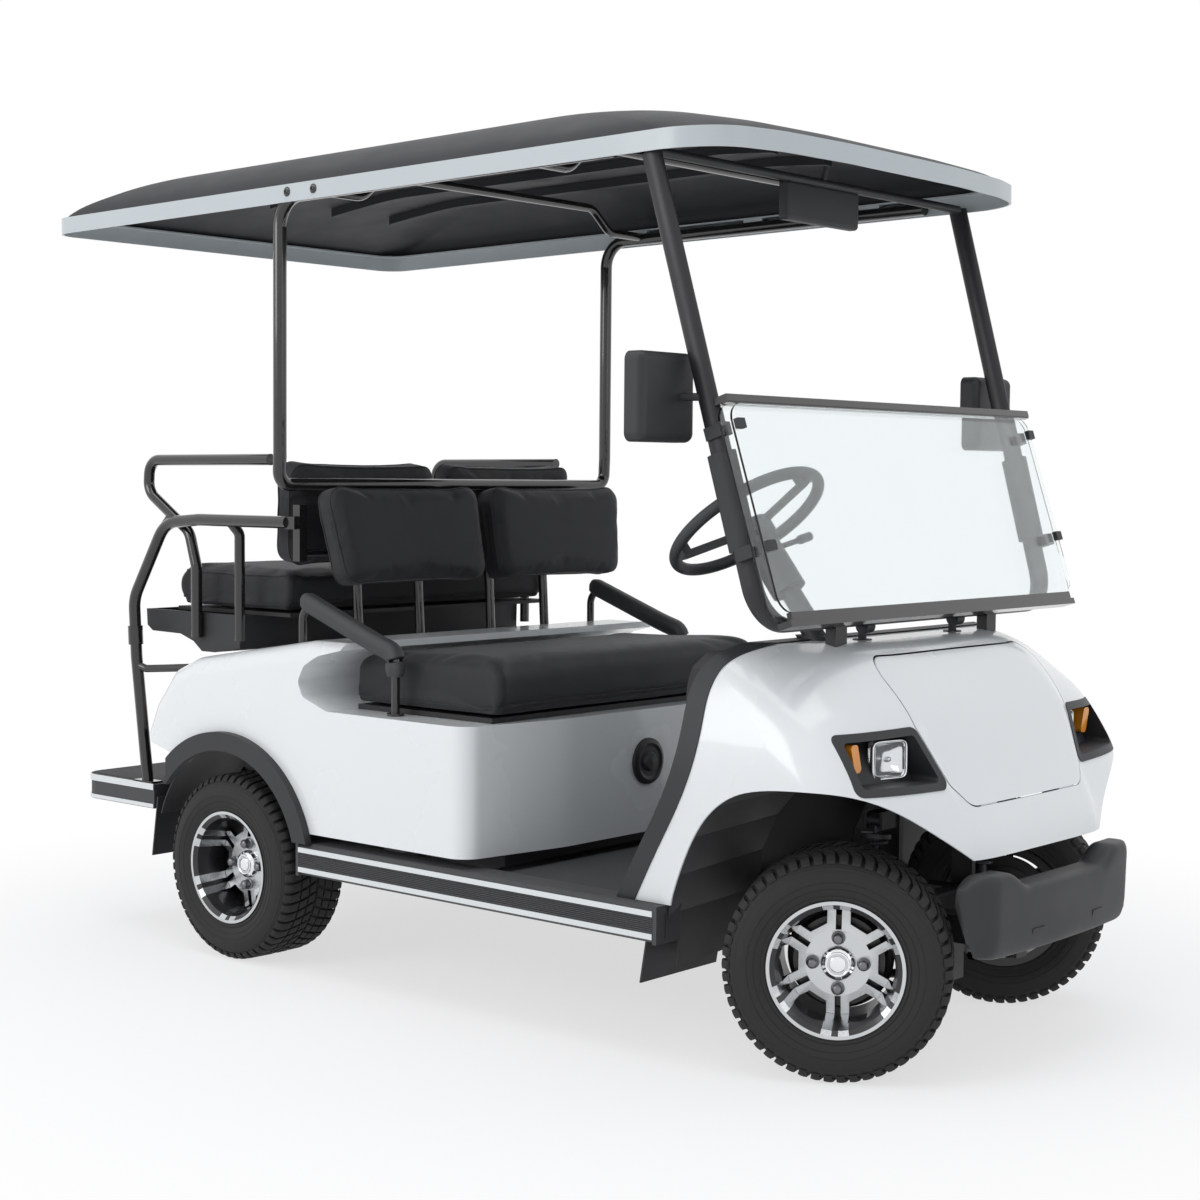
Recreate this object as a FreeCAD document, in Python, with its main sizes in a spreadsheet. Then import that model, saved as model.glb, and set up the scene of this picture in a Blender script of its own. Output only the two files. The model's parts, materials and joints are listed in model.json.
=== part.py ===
import FreeCAD, Part
import math
import os
import Sketcher
from FreeCAD import Placement, Rotation, Vector

# Four-seat golf cart: two seats forward, two seats back, with a fixed roof.
# Frame: +X forward, +Y to the cart's left, +Z up, origin on the ground below the middle.
# The front wheels stand turned to the left, as the cart was parked.

doc = FreeCAD.newDocument("GolfCart")
sheet = doc.addObject("Spreadsheet::Sheet", "Sizes")

# Every driving size, in millimetres or degrees. Places are along the cart's own axes.
SIZES = [
    # wheels and tyres (205/50-10)
    ("tyre_radius", 229), ("tyre_width", 205), ("rim_radius", 127), ("rim_lip_radius", 137.5),
    ("rim_width", 190), ("rim_wall", 6), ("spoke_inset", 73), ("spoke_thick", 14), ("hub_radius", 33),
    ("spoke_width", 46), ("slot_width", 12), ("slot_length", 46), ("nut_circle", 101.6), ("nut_radius", 11),
    ("nut_height", 16), ("cap_radius", 33), ("cap_height", 15), ("drum_radius", 92), ("drum_depth", 45),
    ("spindle_radius", 12.5), ("running_gap", 0.05), ("spoke_count", 6), ("nut_count", 4),
    # stance
    ("rear_axle_x", -650), ("wheelbase", 1630), ("rear_track", 990), ("kingpin_y", 325),
    ("spindle_offset", 75), ("steer_rest", 30), ("kingpin_radius", 9), ("knuckle_radius", 19),
    ("knuckle_height", 70), ("steer_arm", 85), ("tie_rod_radius", 8), ("tie_pin_radius", 6),
    # body shell
    ("body_half", 580), ("body_wall", 5), ("body_bottom", 345), ("body_front_x", 150), ("deck_z", 800),
    ("body_rear_x", -1000), ("body_rear_z", 520), ("body_round", 45), ("side_panel_z", 640),
    ("bench_back_x", -298), ("tail_z", 735), ("tail_x", -800),
    ("front_bow", 46), ("port_radius", 56),
    # cowl
    ("cowl_wall", 4), ("cowl_back_low_x", 522),
    ("cowl_bottom_z", 442), ("panel_gap", 3), ("trim_width", 48), ("trim_thick", 8),
    ("lamp_x", 1106), ("lamp_y", 362), ("lamp_z", 640), ("lamp_wide", 91), ("lamp_high", 75),
    ("lamp_turn", 14),
    # wheel arches
    ("rear_arch_x", -660), ("rear_arch_z", 240), ("rear_arch_radius", 276), ("flare_width", 46),
    ("flare_out", 20),
    ("liner_wall", 3), ("arch_nose_y", 263),
    # floor
    ("floor_z", 300), ("floor_thick", 6), ("mat_thick", 8), ("floor_half", 505),
    ("step_top_z", 320), ("step_low_z", 245), ("step_back_x", -386), ("step_front_x", 695), ("step_proud", 6),
    ("step_wide", 78), ("strip_thick", 4),
    # frame
    ("rail_y", 262), ("rail_wide", 50), ("rail_high", 56), ("nose_rail_y", 125), ("kick_z", 440),
    # roof
    ("roof_back_x", -1327), ("roof_front_x", 897), ("roof_half", 612), ("roof_corner", 64),
    ("roof_pitch", 0.85),
    ("band_low_z", 1824), ("band_high", 41), ("roof_crown", 100), ("roof_wall", 4), ("band_wall", 4),
    # tubes
    ("post_radius", 16), ("post_x", -450), ("post_y", 590), ("post_bend", 70), ("hoop_wide", 46),
    ("hoop_thick", 28),
    ("hoop_top_x", 672), ("hoop_top_z", 1842), ("hoop_low_x", 938), ("hoop_low_z", 902), ("hoop_y", 586),
    ("hoop_low_y", 560),
    ("rail_tube_radius", 15), ("handrail_y", 552),
    # windshield
    ("pane_thick", 5), ("pane_half", 598), ("pane_low_x", 986), ("pane_low_z", 912), ("pane_high_x", 846),
    ("pane_high_z", 1334), ("pane_gap", 14),
    # seats
    ("seat_half", 500), ("bench_back", -315), ("bench_front", 190), ("bench_top_z", 780),
    ("back_thick", 68), ("back_split", 12), ("front_back_low_z", 925), ("front_back_top_z", 1182),
    ("rear_back_low_z", 968), ("rear_back_top_z", 1240), ("rear_seat_front", -552), ("rear_seat_back", -1012),
    ("rear_seat_low_z", 852), ("rear_seat_top_z", 960), ("tray_low_z", 752), ("tray_top_z", 842),
    # footplate
    ("foot_back_x", -1292), ("foot_front_x", -984), ("foot_top_z", 395), ("foot_high", 62),
    ("foot_half", 552),
    # steering
    ("wheel_x", 668), ("wheel_y", -250), ("wheel_z", 1098), ("wheel_ring_radius", 172),
    ("wheel_grip_radius", 13),
    ("wheel_tilt", 38), ("column_radius", 22), ("shaft_radius", 10), ("gear_y", -70),
    # bumper
    ("bumper_front_x", 1328), ("bumper_top_z", 388), ("bumper_low_z", 246), ("bumper_wall", 5),
    # tail lamps
    ("tail_lamp_wide", 120), ("tail_lamp_high", 54),
    # battery
    ("battery_long", 354), ("battery_wide", 820), ("battery_high", 270),
]

for row, (alias, value) in enumerate(SIZES, start=1):
    sheet.set("A%d" % row, str(value))
    sheet.setAlias("A%d" % row, alias)
doc.recompute()


class Size:
    """A size of the sheet, or arithmetic on such sizes: its value with the expression that gives it."""

    def __init__(self, text, value):
        self.text = text
        self.value = value

    def joined(self, sign, other, value):
        return Size("(%s %s %s)" % (self.text, sign, size_of(other).text), value)

    def __add__(self, other):
        return self.joined("+", other, self.value + size_of(other).value)

    def __sub__(self, other):
        return self.joined("-", other, self.value - size_of(other).value)

    def __mul__(self, other):
        return self.joined("*", other, self.value * size_of(other).value)

    def __truediv__(self, other):
        return self.joined("/", other, self.value / size_of(other).value)

    def __radd__(self, other):
        return size_of(other) + self

    def __rsub__(self, other):
        return size_of(other) - self

    def __rmul__(self, other):
        return size_of(other) * self

    def __neg__(self):
        return size_of(0) - self

    def __float__(self):
        return self.value


def size_of(thing):
    return thing if isinstance(thing, Size) else Size("%.6f" % thing, float(thing))


class Sheet:
    """Reads a size of the sheet by its alias."""

    def __getattr__(self, alias):
        return Size("Sizes." + alias, float(sheet.get(alias)))


d = Sheet()
parts = []


def bind(thing, prop, size):
    thing.setExpression(prop, size_of(size).text)


def vec(x, y, z):
    return Vector(float(x), float(y), float(z))


def keep(label, thing):
    """Name an object as a sub-part of the cart."""
    thing.Label = label
    parts.append(thing)
    return thing


def place(thing, x=0, y=0, z=0, axis=None, angle=0):
    if axis is not None:
        thing.Placement = Placement(Vector(), Rotation(Vector(*axis), float(angle)))
        bind(thing, "Placement.Rotation.Angle", angle)
    bind(thing, "Placement.Base.x", x)
    bind(thing, "Placement.Base.y", y)
    bind(thing, "Placement.Base.z", z)
    return thing


# primitives and booleans

def box(x0, x1, y0, y1, z0, z1):
    thing = doc.addObject("Part::Box", "Box")
    bind(thing, "Length", size_of(x1) - x0)
    bind(thing, "Width", size_of(y1) - y0)
    bind(thing, "Height", size_of(z1) - z0)
    return place(thing, x0, y0, z0)


def cylinder(x, y, z, radius, length, along="Z"):
    """A cylinder whose first end's centre is at (x, y, z) and which runs along +X, +Y or +Z."""
    thing = doc.addObject("Part::Cylinder", "Cylinder")
    bind(thing, "Radius", radius)
    bind(thing, "Height", length)
    turn = {"X": ((0, 1, 0), 90), "Y": ((1, 0, 0), -90), "Z": ((0, 0, 1), 0)}[along]
    thing.Placement = Placement(Vector(), Rotation(Vector(*turn[0]), turn[1]))
    return place(thing, x, y, z)


def fused(*things):
    thing = doc.addObject("Part::MultiFuse", "Fusion")
    thing.Shapes = list(things)
    return thing


def cut(base, *tools):
    thing = doc.addObject("Part::Cut", "Cut")
    thing.Base = base
    thing.Tool = tools[0] if len(tools) == 1 else fused(*tools)
    return thing


def common(base, tool):
    thing = doc.addObject("Part::Common", "Common")
    thing.Base = base
    thing.Tool = tool
    return thing


def mirrored(thing):
    """The same thing on the cart's other side."""
    other = doc.addObject("Part::Mirroring", "Mirror")
    other.Source = thing
    other.Normal = (0, 1, 0)
    return other


def together(*things):
    """Several solids that stay apart in one sub-part."""
    thing = doc.addObject("Part::Compound", "Group")
    thing.Links = list(things)
    return thing


def both_sides(thing):
    return together(thing, mirrored(thing))


def shaped(shape):
    """An object for a form that Part's own functions make from the sheet's sizes."""
    thing = doc.addObject("Part::Feature", "Form")
    thing.Shape = shape
    return thing


# bodies of sketches and features

class Body:
    """A PartDesign body with short calls for its sketches and features."""

    def __init__(self, name):
        self.body = doc.addObject("PartDesign::Body", name)
        self.last = None

    def sketch(self, plane, offset=0):
        drawing = self.body.newObject("Sketcher::SketchObject", "Sketch")
        flat = [item for item in self.body.Origin.OriginFeatures if item.Role == plane][0]
        drawing.AttachmentSupport = (flat, [""])
        drawing.MapMode = "FlatFace"
        bind(drawing, "AttachmentOffset.Base.z", offset)
        return drawing

    def polygon(self, plane, points, offset=0):
        """A closed outline of straight lines through points that are bound to the sheet."""
        drawing = self.sketch(plane, offset)
        outline(drawing, points)
        return drawing

    def circle(self, plane, x, y, radius, offset=0):
        drawing = self.sketch(plane, offset)
        ring(drawing, x, y, radius)
        return drawing

    def feature(self, kind, drawing, length=None, symmetric=False, backward=False):
        item = self.body.newObject("PartDesign::" + kind, kind)
        item.Profile = (drawing, [""])
        if length is not None:
            bind(item, "Length", length)
        if symmetric:
            item.SideType = "Symmetric"
        item.Reversed = backward
        drawing.Visibility = False
        self.last = item
        self.body.Tip = item
        return item

    def pad(self, drawing, length, **more):
        return self.feature("Pad", drawing, length, **more)

    def pocket(self, drawing, length, **more):
        doc.recompute()
        before = self.last.Shape.Volume
        item = self.feature("Pocket", drawing, length, **more)
        doc.recompute()
        if item.Shape.isNull() or item.Shape.Volume > before - 1e-3:
            raise RuntimeError("pocket cuts nothing in " + self.body.Label)
        return item

    def revolve(self, drawing, axis="H_Axis"):
        item = self.feature("Revolution", drawing)
        item.ReferenceAxis = (drawing, [axis])
        item.Angle = 360
        return item

    def polar(self, items, axis, count):
        """Copies of features round one of the body's own axes."""
        item = self.body.newObject("PartDesign::PolarPattern", "Polar")
        line = [one for one in self.body.Origin.OriginFeatures if one.Role == axis][0]
        item.Originals = items
        item.Axis = (line, [""])
        item.Angle = 360
        bind(item, "Occurrences", count)
        self.last = item
        self.body.Tip = item
        return item

    def fillet(self, radius, pick):
        """Round the edges that pick() chooses."""
        doc.recompute()
        names = []
        for number, edge in enumerate(self.last.Shape.Edges, start=1):
            if pick(edge):
                names.append("Edge%d" % number)
        if not names:
            raise RuntimeError("no edge to round in " + self.body.Label)
        item = self.body.newObject("PartDesign::Fillet", "Fillet")
        item.Base = (self.last, names)
        bind(item, "Radius", radius)
        self.last = item
        self.body.Tip = item
        return item


def outline(drawing, points):
    first = drawing.GeometryCount
    count = len(points)
    for i in range(count):
        start = points[i]
        end = points[(i + 1) % count]
        drawing.addGeometry(Part.LineSegment(vec(start[0], start[1], 0), vec(end[0], end[1], 0)), False)
    for i in range(count):
        drawing.addConstraint(Sketcher.Constraint("Coincident", first + i, 2, first + (i + 1) % count, 1))
    for i, point in enumerate(points):
        for kind, size in (("DistanceX", size_of(point[0])), ("DistanceY", size_of(point[1]))):
            number = drawing.addConstraint(Sketcher.Constraint(kind, -1, 1, first + i, 1, float(size)))
            bind(drawing, "Constraints[%d]" % number, size)


def ring(drawing, x, y, radius):
    number = drawing.addGeometry(Part.Circle(vec(x, y, 0), Vector(0, 0, 1), float(radius)), False)
    held = (("Radius", (number, float(radius)), radius),
            ("DistanceX", (-1, 1, number, 3, float(x)), x),
            ("DistanceY", (-1, 1, number, 3, float(y)), y))
    for kind, values, size in held:
        constraint = drawing.addConstraint(Sketcher.Constraint(kind, *values))
        bind(drawing, "Constraints[%d]" % constraint, size)


def runs_along(edge, axis):
    line = edge.Vertexes[-1].Point.sub(edge.Vertexes[0].Point)
    return line.Length > 1e-6 and abs(line.normalize().dot(Vector(*axis))) > 0.999


# bent tubes

def bent_path(points, bend):
    """A wire through points: straight runs joined by tangent arcs of one radius, less on a short run."""
    points = [vec(*point) for point in points]
    edges = []
    start = points[0]
    for i in range(1, len(points) - 1):
        back = (points[i - 1] - points[i]).normalize()
        ahead = (points[i + 1] - points[i]).normalize()
        half = back.getAngle(ahead) / 2
        short = min((points[i - 1] - points[i]).Length, (points[i + 1] - points[i]).Length)
        reach = min(float(bend) / math.tan(half), 0.45 * short)
        radius = reach * math.tan(half)
        first = points[i] + back * reach
        last = points[i] + ahead * reach
        inward = (back + ahead).normalize()
        middle = points[i] + inward * (radius / math.sin(half) - radius)
        edges.append(Part.LineSegment(start, first).toShape())
        edges.append(Part.Arc(first, middle, last).toShape())
        start = last
    edges.append(Part.LineSegment(start, points[-1]).toShape())
    return Part.Wire(edges)


def tube(points, radius, bend):
    path = bent_path(points, bend)
    start = path.Vertexes[0].Point
    direction = vec(*points[1]) - vec(*points[0])
    section = Part.Wire([Part.Circle(start, direction, float(radius)).toShape()])
    return path.makePipeShell([section], True, False)


def rod(start, end, radius):
    start = vec(*start)
    line = vec(*end) - start
    return Part.makeCylinder(float(radius), line.Length, start, line)


def flip(shape):
    return shape.mirror(Vector(0, 0, 0), Vector(0, 1, 0))


def pair(*shapes):
    """The shapes and their images on the other side, all as separate solids."""
    return Part.makeCompound([solid for shape in shapes for solid in (shape, flip(shape))])


def melted(*shapes):
    """One solid out of shapes that overlap."""
    return shapes[0].fuse(list(shapes[1:])).removeSplitter()


# wheels

def wheel_at(body, x, y, turn, side):
    """Set a wheel piece, drawn about its own centre with its face to +Y, on its hub."""
    body.Placement = Placement(Vector(), Rotation(Vector(0, 0, 1), 0))
    bind(body, "Placement.Rotation.Angle", turn + (0 if side > 0 else 180))
    bind(body, "Placement.Base.x", x)
    bind(body, "Placement.Base.y", y)
    bind(body, "Placement.Base.z", d.tyre_radius)


def make_tyre(name):
    tyre = Body(name)
    half = d.tyre_width / 2
    bead = d.rim_width / 2 - 7.4
    low = d.rim_radius + 0.3
    points = [(-bead, low), (-bead, d.rim_lip_radius + 0.4), (-half + 6, d.rim_lip_radius + 1),
              (-half, d.tyre_radius - 52),
              (-half + 9, d.tyre_radius - 15), (-half + 24, d.tyre_radius),
              (half - 24, d.tyre_radius), (half - 9, d.tyre_radius - 15), (half, d.tyre_radius - 52),
              (half - 6, d.rim_lip_radius + 1), (bead, d.rim_lip_radius + 0.4), (bead, low)]
    tyre.revolve(tyre.polygon("YZ_Plane", points))
    return tyre.body


def make_rim(name):
    """A cast wheel with its brake drum: two lips, a dished face and split spokes between six windows."""
    rim = Body(name)
    half = d.rim_width / 2
    face = half - d.spoke_inset
    inner = d.rim_radius - d.rim_wall
    bore = d.spindle_radius + d.running_gap
    seat = d.nut_circle / 2 + d.nut_radius + 4
    back = face - d.spoke_thick
    profile = [(-half, d.rim_lip_radius), (-half, inner - 2), (back, inner - 2), (back, seat), (0, seat),
               (0, d.drum_radius), (-d.drum_depth, d.drum_radius), (-d.drum_depth, d.drum_radius - 5),
               (-6, d.drum_radius - 5), (-6, d.hub_radius), (-28, d.hub_radius), (-28, bore),
               (face + 2, bore), (face + 2, seat), (face - 4, inner - 16), (half - 8, inner),
               (half, d.rim_lip_radius - 7), (half, d.rim_lip_radius), (half - 6, d.rim_lip_radius),
               (half - 7, d.rim_radius), (-half + 7, d.rim_radius), (-half + 6, d.rim_lip_radius)]
    rim.revolve(rim.polygon("YZ_Plane", profile))
    # each window ends short of the barrel, and its sides stay parallel to the spokes beside it
    low = float(seat) + 2
    high = float(inner) - 4
    spoke = math.pi / float(d.spoke_count)
    aside = float(d.spoke_width) / 2
    near = turned(low / math.cos(spoke), -aside, spoke)
    far = turned(high - 5, -aside, spoke)
    window = rim.polygon("XZ_Plane", [(near[0], -near[1]), (far[0], -far[1]), (high + 1, 0), far, near])
    windows = rim.pocket(window, face + 40)
    ends = (high - 4 - float(d.slot_length), high - 4)
    corners = [(ends[0], -1), (ends[1], -1), (ends[1], 1), (ends[0], 1)]
    slot = rim.polygon("XZ_Plane", [turned(x, y * float(d.slot_width) / 2, spoke) for x, y in corners])
    slots = rim.pocket(slot, face + 40)
    rim.polar([windows, slots], "Y_Axis", d.spoke_count)
    return rim.body


def turned(x, y, angle):
    return (x * math.cos(angle) - y * math.sin(angle), x * math.sin(angle) + y * math.cos(angle))


def make_hardware(name):
    """The bright centre cap and the round-headed wheel nuts, in front of the wheel's face."""
    face = d.rim_width / 2 - d.spoke_inset + 2
    cap = Body(name)
    profile = [(face, 0), (face + d.cap_height, 0), (face + d.cap_height, d.cap_radius - 12),
               (face + d.cap_height - 4, d.cap_radius - 4), (face, d.cap_radius)]
    cap.revolve(cap.polygon("YZ_Plane", profile))
    head = cap.circle("XZ_Plane", d.nut_circle / 2, 0, d.nut_radius, offset=-face)
    nut = cap.pad(head, d.nut_height, backward=True)
    cap.polar([nut], "Y_Axis", d.nut_count)
    return cap.body


def sine(angle):
    return Size("sin(%s * 1 deg)" % angle.text, math.sin(math.radians(angle.value)))


def cosine(angle):
    return Size("cos(%s * 1 deg)" % angle.text, math.cos(math.radians(angle.value)))


king_x = d.rear_axle_x + d.wheelbase
hub_z = d.tyre_radius
corners = []
for side, word in ((-1, "right"), (1, "left")):
    front_x = king_x - side * d.spindle_offset * sine(d.steer_rest)
    front_y = side * (d.kingpin_y + d.spindle_offset * cosine(d.steer_rest))
    corners.append(("front_" + word, front_x, front_y, d.steer_rest, side))
    corners.append(("rear_" + word, d.rear_axle_x, side * d.rear_track / 2, size_of(0), side))
for word, x, y, turn, side in corners:
    tyre, rim, hardware = make_tyre("tyre"), make_rim("rim"), make_hardware("hardware")
    for thing in (tyre, rim, hardware):
        wheel_at(thing, x, y, turn, side)
    keep("tyre_" + word, tyre)
    keep("rim_" + word, together(rim, hardware))


# front suspension and steering

arm_low = hub_z - d.knuckle_height / 2 + 5
arm_top = arm_low + 10
rod_z = arm_top + 9
for side, word in ((-1, "right"), (1, "left")):
    # drawn about the kingpin with the wheel straight ahead, then turned to the parked angle
    sleeve = cylinder(0, 0, hub_z - d.knuckle_height / 2, d.knuckle_radius, d.knuckle_height)
    reach = d.spindle_offset + d.rim_width / 2 - d.spoke_inset - 2
    spindle = cylinder(0, 14, hub_z, d.spindle_radius, reach - 14, "Y")
    flange = cylinder(0, 20, hub_z, d.drum_radius - 8, 4, "Y")
    neck = cylinder(0, 12, hub_z, d.spindle_radius + 6, d.spindle_offset - 28 - 6 - 12, "Y")
    arm = box(-d.steer_arm, -12, -9, 9, arm_low, arm_top)
    eye = cylinder(-d.steer_arm, 0, arm_low, 12, 10)
    pin = cylinder(-d.steer_arm, 0, arm_low + 5, d.tie_pin_radius, rod_z + 11 - arm_low - 5)
    solid = fused(sleeve, spindle, flange, neck, arm, eye, pin)
    if side < 0:
        solid = mirrored(solid)
    bore = cylinder(0, 0, hub_z - d.knuckle_height, d.kingpin_radius + d.running_gap, 2 * d.knuckle_height)
    knuckle = keep("knuckle_" + word, cut(solid, bore))
    place(knuckle, king_x, side * d.kingpin_y, 0, (0, 0, 1), d.steer_rest)

pin_x = king_x - d.steer_arm * cosine(d.steer_rest)
pin_y = -d.steer_arm * sine(d.steer_rest)
eyes = []
for y in (-d.kingpin_y + pin_y, d.gear_y + pin_y, d.kingpin_y + pin_y):
    eyes.append(y)
bar = cylinder(pin_x, eyes[0], rod_z, d.tie_rod_radius, 2 * d.kingpin_y, "Y")
rings = [cylinder(pin_x, y, rod_z - 8.5, 12, 17) for y in eyes]
holes = [cylinder(pin_x, y, rod_z - 20, d.tie_pin_radius + d.running_gap, 40) for y in eyes]
keep("tie_rod", cut(fused(bar, *rings), *holes))

lift = rod_z + 9
drop_arm = fused(box(-d.steer_arm, 0, -9, 9, lift, lift + 10), cylinder(-d.steer_arm, 0, lift, 12, 10),
                 cylinder(0, 0, lift, 16, 10),
                 cylinder(-d.steer_arm, 0, rod_z - 9, d.tie_pin_radius, 22))
pitman = keep("pitman_arm", cut(drop_arm, cylinder(0, 0, lift - 1, d.shaft_radius + d.running_gap, 30)))
place(pitman, king_x, d.gear_y, 0, (0, 0, 1), d.steer_rest)

print("front end ready")

king_top = hub_z + d.knuckle_height / 2
king_low = hub_z - d.knuckle_height / 2
gap = size_of(3)
tower_y = d.nose_rail_y + d.rail_wide / 2


def wishbone(z, spread, pivot_y, thick):
    """A V of two legs from the pivots at the frame to the boss that holds the kingpin's end."""
    legs = []
    for way in (-1, 1):
        start = (king_x, -d.kingpin_y + 4, z + thick / 2)
        end = (king_x + way * spread, -pivot_y, z + thick / 2)
        legs.append(rod(start, end, 9))
        legs.append(Part.makeCylinder(13, 34, vec(king_x + way * spread - 17, -pivot_y, z + thick / 2),
                                      Vector(1, 0, 0)))
    boss = Part.makeCylinder(17, float(thick), vec(king_x, -d.kingpin_y, z))
    bores = [Part.makeCylinder(6.3, 60, vec(king_x + way * spread - 30, -pivot_y, z + thick / 2),
                               Vector(1, 0, 0))
             for way in (-1, 1)]
    return melted(boss, *legs).cut(bores)


boss_high = size_of(24)
low_spread = size_of(130)
top_spread = size_of(92)
low_arm = wishbone(king_low - gap - boss_high, low_spread, d.nose_rail_y + 17, boss_high)
top_arm = wishbone(king_top + gap, top_spread, d.nose_rail_y + 40, boss_high)
king_pin = Part.makeCylinder(float(d.kingpin_radius), float(d.knuckle_height + 2 * gap + 8),
                             vec(king_x, -d.kingpin_y, king_low - gap - 4))
shock_foot = (king_x, -d.kingpin_y + 92, king_low - gap - boss_high / 2)
shock_head = (king_x, -tower_y - 52, 486)


def between(start, end, share):
    return vec(*start) + (vec(*end) - vec(*start)) * share


def shock(foot, head, coil_radius):
    """A damper between its two eyes, and the coil spring that stands between its two seats."""
    line = vec(*head) - vec(*foot)
    body = rod(foot, between(foot, head, 0.52), 17)
    stem = rod(foot, head, 7)
    low_seat = rod(between(foot, head, 0.16), between(foot, head, 0.19), coil_radius + 5)
    top_seat = rod(between(foot, head, 0.88), between(foot, head, 0.91), coil_radius + 5)
    eyes = [Part.makeCylinder(14, 30, vec(*end) - Vector(15, 0, 0), Vector(1, 0, 0)) for end in (foot, head)]
    bore = Part.makeCylinder(9.3, 60, vec(*head) - Vector(30, 0, 0), Vector(1, 0, 0))
    damper = melted(body, stem, low_seat, top_seat, *eyes).cut(bore)
    wire = 4.5
    high = line.Length * 0.69 - 2 * wire - 0.6
    helix = Part.makeHelix(high / 6, high, coil_radius)
    start = Vector(coil_radius, 0, 0)
    section = Part.Wire([Part.Circle(start, Vector(0, 1, 0.1), wire).toShape()])
    coil = Part.Wire(helix.Edges).makePipeShell([section], True, True)
    turn = Rotation(Vector(0, 0, 1), line)
    coil.Placement = Placement(between(foot, head, 0.19) + line.normalize() * (wire + 0.3), turn)
    return [damper, coil]


front_arms = melted(low_arm, top_arm, king_pin)
keep("front_suspension", shaped(pair(front_arms)))
front_shock = shock(shock_foot, shock_head, 27)

# rear axle

axle_end = d.rear_track / 2 + d.rim_width / 2 - d.spoke_inset - 2
stub = Part.makeCylinder(float(d.spindle_radius), 2 * float(axle_end), vec(d.rear_axle_x, -axle_end, hub_z),
                         Vector(0, 1, 0))
flange_y = d.rear_track / 2 - d.drum_depth - 12
case = Part.makeCylinder(36, 2 * float(flange_y), vec(d.rear_axle_x, -flange_y, hub_z), Vector(0, 1, 0))
plates = [Part.makeCylinder(float(d.drum_radius) - 6, 5, vec(d.rear_axle_x, way * flange_y - 2.5, hub_z),
                            Vector(0, 1, 0)) for way in (-1, 1)]
gears = Part.makeSphere(98, vec(d.rear_axle_x, 40, hub_z + 6))
gears = gears.common(Part.makeBox(220, 150, 220, vec(d.rear_axle_x - 110, -35, hub_z - 100)))
motor = Part.makeCylinder(84, 210, vec(d.rear_axle_x + 40, -175, hub_z + 16), Vector(0, 1, 0))
keep("rear_axle", shaped(melted(case, stub, *plates, gears, motor)))

spring_end_z = d.kick_z - d.rail_high - 22
spring_half = size_of(270)


def leaf(width, thick):
    """A leaf spring: a strip between two arcs, hanging below the frame and clamped on the axle."""
    x = d.rear_axle_x
    low = hub_z + 36.3
    bottom = Part.Arc(vec(x - spring_half, 0, spring_end_z), vec(x, 0, low),
                      vec(x + spring_half, 0, spring_end_z))
    top = Part.Arc(vec(x - spring_half, 0, spring_end_z + thick), vec(x, 0, low + thick),
                   vec(x + spring_half, 0, spring_end_z + thick))
    ends = [Part.LineSegment(vec(x + way * spring_half, 0, spring_end_z),
                             vec(x + way * spring_half, 0, spring_end_z + thick)) for way in (-1, 1)]
    ring_wire = Part.Wire(Part.__sortEdges__([one.toShape() for one in (bottom, top, *ends)]))
    strip = Part.Face(ring_wire).extrude(vec(0, width, 0))
    strip.translate(vec(0, -d.rail_y - width / 2, 0))
    return strip


eyes_at_ends = [Part.makeCylinder(12, 44, vec(d.rear_axle_x + way * spring_half, -d.rail_y - 22,
                                              spring_end_z + 7), Vector(0, 1, 0)) for way in (-1, 1)]
eye_bores = [Part.makeCylinder(6.3, 60, vec(d.rear_axle_x + way * spring_half, -d.rail_y - 30,
                                           spring_end_z + 7), Vector(0, 1, 0)) for way in (-1, 1)]
rear_spring = melted(leaf(size_of(44), size_of(14)), *eyes_at_ends).cut(eye_bores)
keep("suspension_springs", shaped(pair(rear_spring, *front_shock)))

# frame

rail_low = d.floor_z - d.rail_high
kick_low = d.kick_z - d.rail_high
rail = Body("rail")
bend = size_of(-300)
rail.pad(rail.polygon("XZ_Plane", [
    (d.body_rear_x + 20, kick_low), (d.rear_axle_x + spring_half + 18, kick_low), (bend + 40, rail_low),
    (640, rail_low), (640, d.floor_z), (bend + 60, d.floor_z), (d.rear_axle_x + spring_half + 38, d.kick_z),
    (d.body_rear_x + 20, d.kick_z)], offset=d.rail_y - d.rail_wide / 2), d.rail_wide)
inside = d.rail_y - d.rail_wide / 2
nose_in = d.nose_rail_y - d.rail_wide / 2
nose_out = d.nose_rail_y + d.rail_wide / 2
nose_x = d.bumper_front_x - 56
low_pivot_z = king_low - gap - boss_high / 2
top_pivot_z = king_top + gap + boss_high / 2
half_frame = [
    rail.body,
    box(560, nose_x, -nose_out, -nose_in, rail_low, d.floor_z),
    box(d.body_rear_x - 240, d.body_rear_x + 60, -d.rail_y - 20, -d.rail_y + 20,
        d.foot_top_z - d.foot_high - 30,
        d.foot_top_z - d.foot_high - 0.3),
    box(d.body_rear_x + 20, d.body_rear_x + 60, -d.rail_y - 20, -d.rail_y + 20,
        d.foot_top_z - d.foot_high - 30, d.kick_z - 6),
    box(king_x - 26, king_x + 26, -nose_out - 6, -nose_out + 8, d.floor_z - 20, 506),
    cylinder(king_x - 22, -tower_y - 52, 486, 9, 44, "X"),
]
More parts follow.
